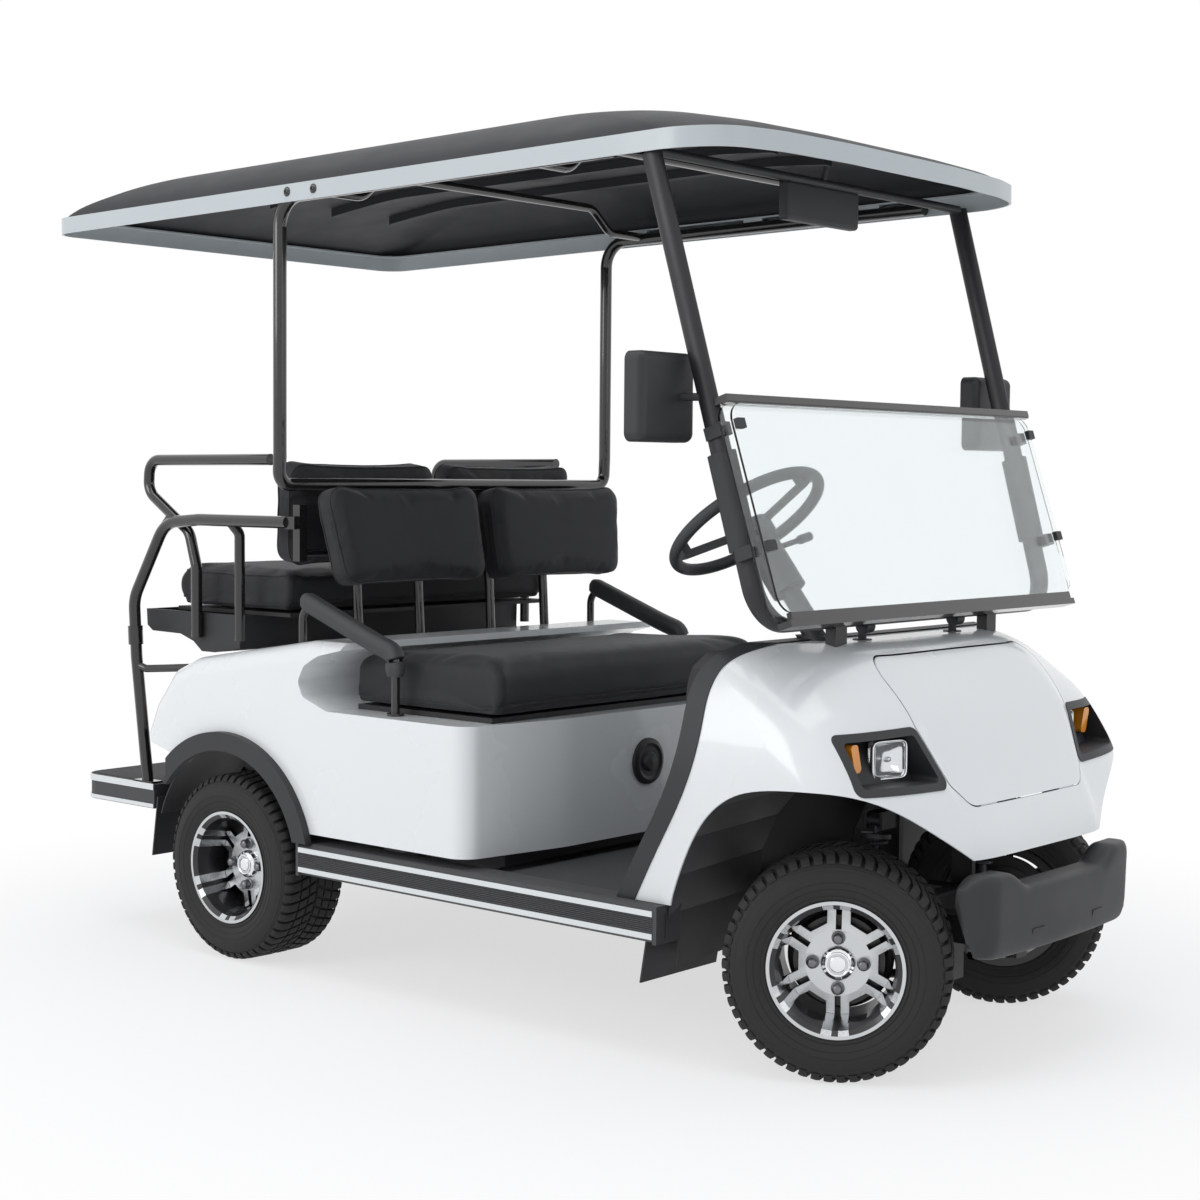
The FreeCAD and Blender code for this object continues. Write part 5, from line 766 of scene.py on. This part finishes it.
def tilt(points, angle, x, z, turned=False, left=False):
    out = []
    for p in points:
        q = Vector((-p.x, p.y, p.z)) if turned else p.copy()
        q = Matrix.Rotation(math.radians(angle), 3, "Y") @ q + Vector((x, 0, z))
        if left:
            q.y = -q.y
        out.append(q)
    return out


# seat backs: low and high edge, half width there, then the tilt in degrees and the face's place along x
FRONT_BACK = (0.925, 1.182, 0.512, 0.548)
FRONT_TILT, FRONT_FACE = -10, -0.300
REAR_BACK = (0.968, 1.240, 0.500, 0.528)
REAR_TILT, REAR_FACE = 8, -0.600
WELT_DEPTHS = (("face", -0.012), ("rear", -0.058))
STITCH_DEPTH = -0.018
for one, left in zip(fronts, (False, True)):
    word = "left" if left else "right"
    for row, depth in WELT_DEPTHS:
        loop = tilt(back_loop(*FRONT_BACK, depth), FRONT_TILT, FRONT_FACE, FRONT_BACK[0], left=left)
        seam(one, "welt_front_%s_%s" % (word, row), loop)
    loop = tilt(back_loop(*FRONT_BACK, STITCH_DEPTH), FRONT_TILT, FRONT_FACE, FRONT_BACK[0], left=left)
    stitches(one, "stitch_front_" + word, loop, (-0.004, 0, 0))
for one, left in zip(rears, (False, True)):
    word = "left" if left else "right"
    for row, depth in WELT_DEPTHS:
        loop = tilt(back_loop(*REAR_BACK, depth), REAR_TILT, REAR_FACE, REAR_BACK[0], turned=True, left=left)
        seam(one, "welt_rear_%s_%s" % (word, row), loop)


def flat_loop(x0, x1, half, z, radius=0.04):
    corners = [(x0, -half), (x1, -half), (x1, half), (x0, half)]
    return [Vector((p[0], p[1], z)) for p in round_loop(corners, radius)]


bench_edge = flat_loop(-0.306, 0.176, 0.494, 0.672)
rear_edge = flat_loop(-1.004, -0.558, 0.474, 0.868)
seam(bench, "welt_bench_low", bench_edge)
seam(rear_seat, "welt_rear_seat_low", rear_edge)
seam(rear_seat, "welt_rear_seat_top", flat_loop(-0.990, -0.566, 0.462, 0.948))
stitches(rear_seat, "stitch_rear_seat", rear_edge, (0, 0, 0.008))
stitches(bench, "stitch_bench", bench_edge, (0, 0, 0.008))

# armrest pads: foam sleeves with a groove along each side


def rounded_path(points, radius, steps=7):
    out = [Vector(points[0])]
    for a, b, c in zip(points, points[1:], points[2:]):
        here, before, after = Vector(b), Vector(a), Vector(c)
        u, v = before - here, after - here
        cut_back = min(radius, u.length * 0.48, v.length * 0.48)
        start, end = here + u.normalized() * cut_back, here + v.normalized() * cut_back
        for i in range(steps + 1):
            t = i / steps
            out.append((1 - t) ** 2 * start + 2 * t * (1 - t) * here + t * t * end)
    out.append(Vector(points[-1]))
    return out


def swept(name, points, section, side=Vector((0, 1, 0)), ends=None):
    """A closed section of (across, up) points along a path that bends about side; ends scales each point."""
    verts, faces = [], []
    count, m = len(points), len(section)
    for k, point in enumerate(points):
        before, after = points[max(0, k - 1)], points[min(count - 1, k + 1)]
        along = (after - before).normalized()
        rise = side.cross(along).normalized()
        if rise.z < 0 and abs(rise.z) > abs(rise.x) * 0.2:
            rise = -rise
        scale = ends[k] if ends else 1
        for a, b in section:
            verts.append(point + side * a * scale + rise * b * scale)
    for k in range(count - 1):
        for j in range(m):
            faces.append((k * m + j, k * m + (j + 1) % m, (k + 1) * m + (j + 1) % m, (k + 1) * m + j))
    faces.append(tuple(range(m)))
    faces.append(tuple(range((count - 1) * m, count * m)))
    return mesh_of(name, verts, faces)


def pad_section():
    """Two lobes, the upper one wider, with a groove between them."""
    out = []
    for k in range(32):
        a = math.tau * k / 32
        c, s = math.cos(a), math.sin(a)
        wide = 0.021 * abs(c) ** 0.75 * (1 if c > 0 else -1)
        high = 0.0235 * abs(s) ** 0.85 * (1 if s > 0 else -1)
        notch = math.exp(-((high + 0.007) / 0.0028) ** 2) * 0.0032
        low = 0.0022 if high < -0.007 else 0
        out.append((wide - (notch + low) * (1 if wide > 0 else -1) * min(1, abs(wide) / 0.012), high))
    return out


for y, word in ((-0.526, "right"), (0.526, "left")):
    route = [(-0.4335, y, 0.8925), (-0.180, y, 0.800), (-0.122, y, 0.784), (-0.122, y, 0.728)]
    line = rounded_path(route, 0.05, 9)
    line = even(line, 0.008)
    count = len(line)
    ends = [min(1, 0.80 + 0.2 * min(1, min(k, count - 1 - k) / 1.6)) for k in range(count)]
    pad = piece("armrest_pad_" + word, swept("pad", line, pad_section(), ends=ends), "grip_foam", smooth=60)
    if y < 0:
        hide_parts("armrest_pads")

# ribs of the sills, steps and footplate


def wavy_strip(name, start, along, length, across, span, out, count, depth, back):
    """A strip of ribs: it runs along for length, and its ribs lie side by side over span."""
    verts, faces = [], []
    per = 8
    along, across, out = Vector(along), Vector(across), Vector(out)
    section = []
    for k in range(count * per + 1):
        t = k / per
        wave = max(0.0, math.sin(math.pi * (t % 1)) if k % per else 0.0) ** 0.7
        section.append((span * k / (count * per), depth * wave))
    for end in (0, length):
        for a, h in section:
            verts.append(Vector(start) + along * end + across * a + out * h)
        verts.append(Vector(start) + along * end + across * span - out * back)
        verts.append(Vector(start) + along * end - out * back)
    m = len(section) + 2
    for j in range(m):
        faces.append((j, (j + 1) % m, m + (j + 1) % m, m + j))
    faces.append(tuple(range(m)))
    faces.append(tuple(range(m, 2 * m)))
    return mesh_of(name, verts, faces)


STEP_BACK = -0.385
STEP_LONG = 1.0795
SINK = 0.0004
for side, word in ((-1, "right"), (1, "left")):
    ribs = wavy_strip("ribs", (STEP_BACK, side * 0.5859, 0.2665), (1, 0, 0), STEP_LONG, (0, 0, 1), 0.0325,
                      (0, side, 0), 8, 0.0026, SINK)
    piece("sill_ribs_" + word, ribs, "sill_black", smooth=50)
    ribs = wavy_strip("ribs", (STEP_BACK, side * 0.512, 0.3199), (1, 0, 0), STEP_LONG, (0, side, 0), 0.0655,
                      (0, 0, 1), 13, 0.0022, SINK)
    piece("step_ribs_" + word, ribs, "sill_black", smooth=50)
ribs = wavy_strip("ribs", (-1.276, -0.530, 0.3950), (0, 1, 0), 1.060, (1, 0, 0), 0.280, (0, 0, 1), 35,
                  0.0022, SINK)
piece("footplate_ribs", ribs, "sill_black", smooth=50)

# screws and bolts


def dome(place, out, radius, height, sides=20):
    """A round-headed screw: washer, then a domed head with a small round recess in it."""
    out = Vector(out).normalized()
    a = out.orthogonal().normalized()
    b = out.cross(a)
    rings = [(1.32, -0.0006), (1.32, 0.0008), (1.02, 0.0010), (1.0, 0.2 * height), (0.9, 0.62 * height),
             (0.68, 0.88 * height), (0.42, 1.0 * height), (0.40, 0.55 * height)]
    verts, faces = [], []
    for r, h in rings:
        for k in range(sides):
            t = math.tau * k / sides
            ring_point = a * math.cos(t) + b * math.sin(t)
            verts.append(Vector(place) + ring_point * r * radius + out * h)
    for j in range(len(rings) - 1):
        for k in range(sides):
            n = (k + 1) % sides
            faces.append((j * sides + k, j * sides + n, (j + 1) * sides + n, (j + 1) * sides + k))
    faces.append(tuple(range((len(rings) - 1) * sides, len(rings) * sides)))
    faces.append(tuple(range(sides)))
    return verts, faces


def screws(name, places, slot, body="cart", mat=None):
    verts, faces = [], []
    for place, out, radius, height in places:
        v, f = dome(place, out, radius, height)
        base = len(verts)
        verts += v
        faces += [tuple(i + base for i in face) for face in f]
    return piece(name, mesh_of(name, verts, faces), slot, body, 40, mat=mat)


band_screws = []
for side in (-1, 1):
    for x in (-0.399, -0.308):
        band_screws.append(((x, side * 0.6122, 1.847), (0, side, 0), 0.0085, 0.006))
screws("band_bolts", band_screws, "tube_black")

# front bumper: a flat face between two raised, rounded shoulders

BUMPER_HALF = 0.3300
BUMPER_LOW = 0.2480
BUMPER_TOP = 0.3860
SHOULDER_TOP = 0.4200


def smooth_step(low, high, value):
    t = max(0.0, min(1.0, (value - low) / (high - low)))
    return t * t * (3 - 2 * t)


# the back of the bumper keeps clear of the steered tyres: (height, foremost place of its back)
BACK_LINE = [(0.278, 1.2755), (0.310, 1.2665), (0.350, 1.2485), (0.364, 1.2420)]


def back_at(z):
    if z <= BACK_LINE[0][0]:
        return BACK_LINE[0][1]
    for (z0, x0), (z1, x1) in zip(BACK_LINE, BACK_LINE[1:]):
        if z <= z1:
            return x0 + (x1 - x0) * (z - z0) / (z1 - z0)
    return BACK_LINE[-1][1]


def bumper_station(y):
    """Front face, bottom and top of the bumper at a distance to the side."""
    a = abs(y)
    front = 1.3262 - 0.012 * (a / 0.27) ** 2
    front -= 0.030 * smooth_step(0.262, BUMPER_HALF, a)
    top = BUMPER_TOP + (SHOULDER_TOP - BUMPER_TOP) * smooth_step(0.150, 0.226, a)
    top -= 0.016 * smooth_step(0.285, BUMPER_HALF, a)
    low = BUMPER_LOW + 0.010 * smooth_step(0.240, BUMPER_HALF, a)
    return front, low, top


def bumper_mesh():
    verts, faces = [], []
    stations = [BUMPER_HALF * math.sin(math.pi / 2 * k / 40) for k in range(-40, 41)]
    around = 40
    for number, y in enumerate(stations):
        front, low, top = bumper_station(y)
        back = 1.2420
        end = max(0.0, (abs(y) - (BUMPER_HALF - 0.020)) / 0.020)
        draw = math.sqrt(max(0.0, 1 - end * end)) * 0.30 + 0.70
        half_x, half_z = (front - back) / 2 * draw, (top - low) / 2 * (0.5 + 0.5 * draw)
        mid_x, mid_z = (front + back) / 2, (top + low) / 2
        for k in range(around):
            t = math.tau * k / around
            c, s = math.cos(t), math.sin(t)
            lean = 0.010 * smooth_step(-1, 1, -s) if c > 0 else 0
            z = mid_z + half_z * math.copysign(abs(s) ** 0.42, s)
            x = mid_x + half_x * math.copysign(abs(c) ** 0.42, c) - lean
            verts.append((max(x, back_at(z)), y, z))
    for number in range(len(stations) - 1):
        for k in range(around):
            n = (k + 1) % around
            a, b = number * around, (number + 1) * around
            faces.append((a + k, a + n, b + n, b + k))
    faces.append(tuple(range(around)))
    faces.append(tuple(range((len(stations) - 1) * around, len(stations) * around)))
    return mesh_of("bumper", verts, faces)


bumper = piece("bumper_cover", bumper_mesh(), "moulded_black", smooth=60)
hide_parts("front_bumper")

# headlamps: a bright bowl, a bulb and a frame for each lens

LAMP_CENTRE = Vector((1.106, 0.362, 0.640))
LAMP_TURN = math.radians(14)
LAMP_HALF_WIDE = 0.045
LAMP_HALF_HIGH = 0.0375


def at_lamp(way, ahead_by, aside, rise):
    """A place by a lamp, measured from its centre along its own directions."""
    normal = Vector((math.cos(LAMP_TURN), way * math.sin(LAMP_TURN), 0))
    across = Vector((-way * math.sin(LAMP_TURN), math.cos(LAMP_TURN), 0))
    centre = Vector((LAMP_CENTRE.x, way * LAMP_CENTRE.y, LAMP_CENTRE.z))
    return centre + normal * ahead_by + across * aside + Vector((0, 0, rise))


def lamp_ring(way, ahead_by, share, square, count=32):
    """A ring round the lamp's middle: a rounded square at 0.3, a circle at 1."""
    ring = []
    for k in range(count):
        t = math.tau * k / count
        c, s = math.cos(t), math.sin(t)
        aside = LAMP_HALF_WIDE * share * math.copysign(abs(c) ** square, c)
        rise = LAMP_HALF_HIGH * share * math.copysign(abs(s) ** square, s)
        ring.append(at_lamp(way, ahead_by, aside, rise))
    return ring


def skinned(name, rings):
    """A closed form through rings of points, with its ends closed."""
    count = len(rings[0])
    verts = [p for ring in rings for p in ring]
    faces = []
    for j in range(len(rings) - 1):
        for k in range(count):
            n = (k + 1) % count
            faces.append((j * count + k, j * count + n, (j + 1) * count + n, (j + 1) * count + k))
    faces.append(tuple(range(count)))
    faces.append(tuple(range((len(rings) - 1) * count, len(rings) * count)))
    return mesh_of(name, verts, faces)


# rings of each form: (ahead of the lamp's middle, share of the lamp's half size, squareness)
BOWL = [(-0.0066, 0.93, 0.30), (0.0048, 0.95, 0.30), (0.0048, 0.91, 0.30), (0.0020, 0.87, 0.34),
        (-0.0012, 0.76, 0.45), (-0.0036, 0.58, 0.65), (-0.0050, 0.38, 0.85), (-0.0056, 0.18, 1.0)]
BULB = [(-0.0056, 0.15, 1.0), (0.0005, 0.15, 1.0), (0.0026, 0.12, 1.0), (0.0036, 0.07, 1.0),
        (0.0040, 0.02, 1.0)]
for way, word in ((-1, "right"), (1, "left")):
    bowl = skinned("bowl", [lamp_ring(way, *row) for row in BOWL])
    piece("lamp_bowl_" + word, bowl, "lamp_clear", smooth=50, mat="chrome")
    bulb = skinned("bulb", [lamp_ring(way, *row) for row in BULB])
    piece("lamp_bulb_" + word, bulb, "lamp_clear", smooth=50, mat="bright_trim")
    frame_line = even(lamp_ring(way, 0.0066, 1.0, 0.30, 96), 0.003, True)
    rim_tube = tube_mesh("frame", frame_line, 0.0024, 10, True)
    piece("lamp_frame_" + word, rim_tube, "moulded_black", smooth=60, mat="chrome")

# floor, then the end

FLOOR_HALF = 14
FLOOR_Z = -0.0005
corners = [(x * FLOOR_HALF, y * FLOOR_HALF, FLOOR_Z) for x, y in ((-1, -1), (1, -1), (1, 1), (-1, 1))]
floor_mesh = mesh_of("floor", corners, [(0, 1, 2, 3)])
floor = new_object("floor", floor_mesh)
floor_mat = bpy.data.materials.new("floor")
fn, fl = nodes_of(floor_mat)
fn["Principled BSDF"].inputs["Base Color"].default_value = (0.93, 0.93, 0.93, 1)
fn["Principled BSDF"].inputs["Roughness"].default_value = 0.9
fn["Principled BSDF"].inputs["Specular IOR Level"].default_value = 0.1
glow = fn.new("ShaderNodeEmission")
glow.inputs["Color"].default_value = (1, 1, 1, 1)
glow.inputs["Strength"].default_value = 1.0
# plain white away from the object, a soft shadow below it
where_on = fn.new("ShaderNodeTexCoord")
far = fn.new("ShaderNodeVectorMath")
far.operation = "LENGTH"
fl.new(where_on.outputs["Object"], far.inputs[0])
fade = fn.new("ShaderNodeMapRange")
fade.interpolation_type = "SMOOTHSTEP"
fade.inputs["From Min"].default_value = 1.1
fade.inputs["From Max"].default_value = 2.6
fade.inputs["To Min"].default_value = 0.66
fade.inputs["To Max"].default_value = 1.0
fl.new(far.outputs["Value"], fade.inputs["Value"])
share = fn.new("ShaderNodeMath")
share.operation = "MULTIPLY"
fl.new(seen_rays(fn, fl), share.inputs[0])
fl.new(fade.outputs["Result"], share.inputs[1])
blend = fn.new("ShaderNodeMixShader")
fl.new(share.outputs[0], blend.inputs["Fac"])
fl.new(fn["Principled BSDF"].outputs[0], blend.inputs[1])
fl.new(glow.outputs[0], blend.inputs[2])
fl.new(blend.outputs[0], fn["Material Output"].inputs["Surface"])
floor_mesh.materials.append(floor_mat)
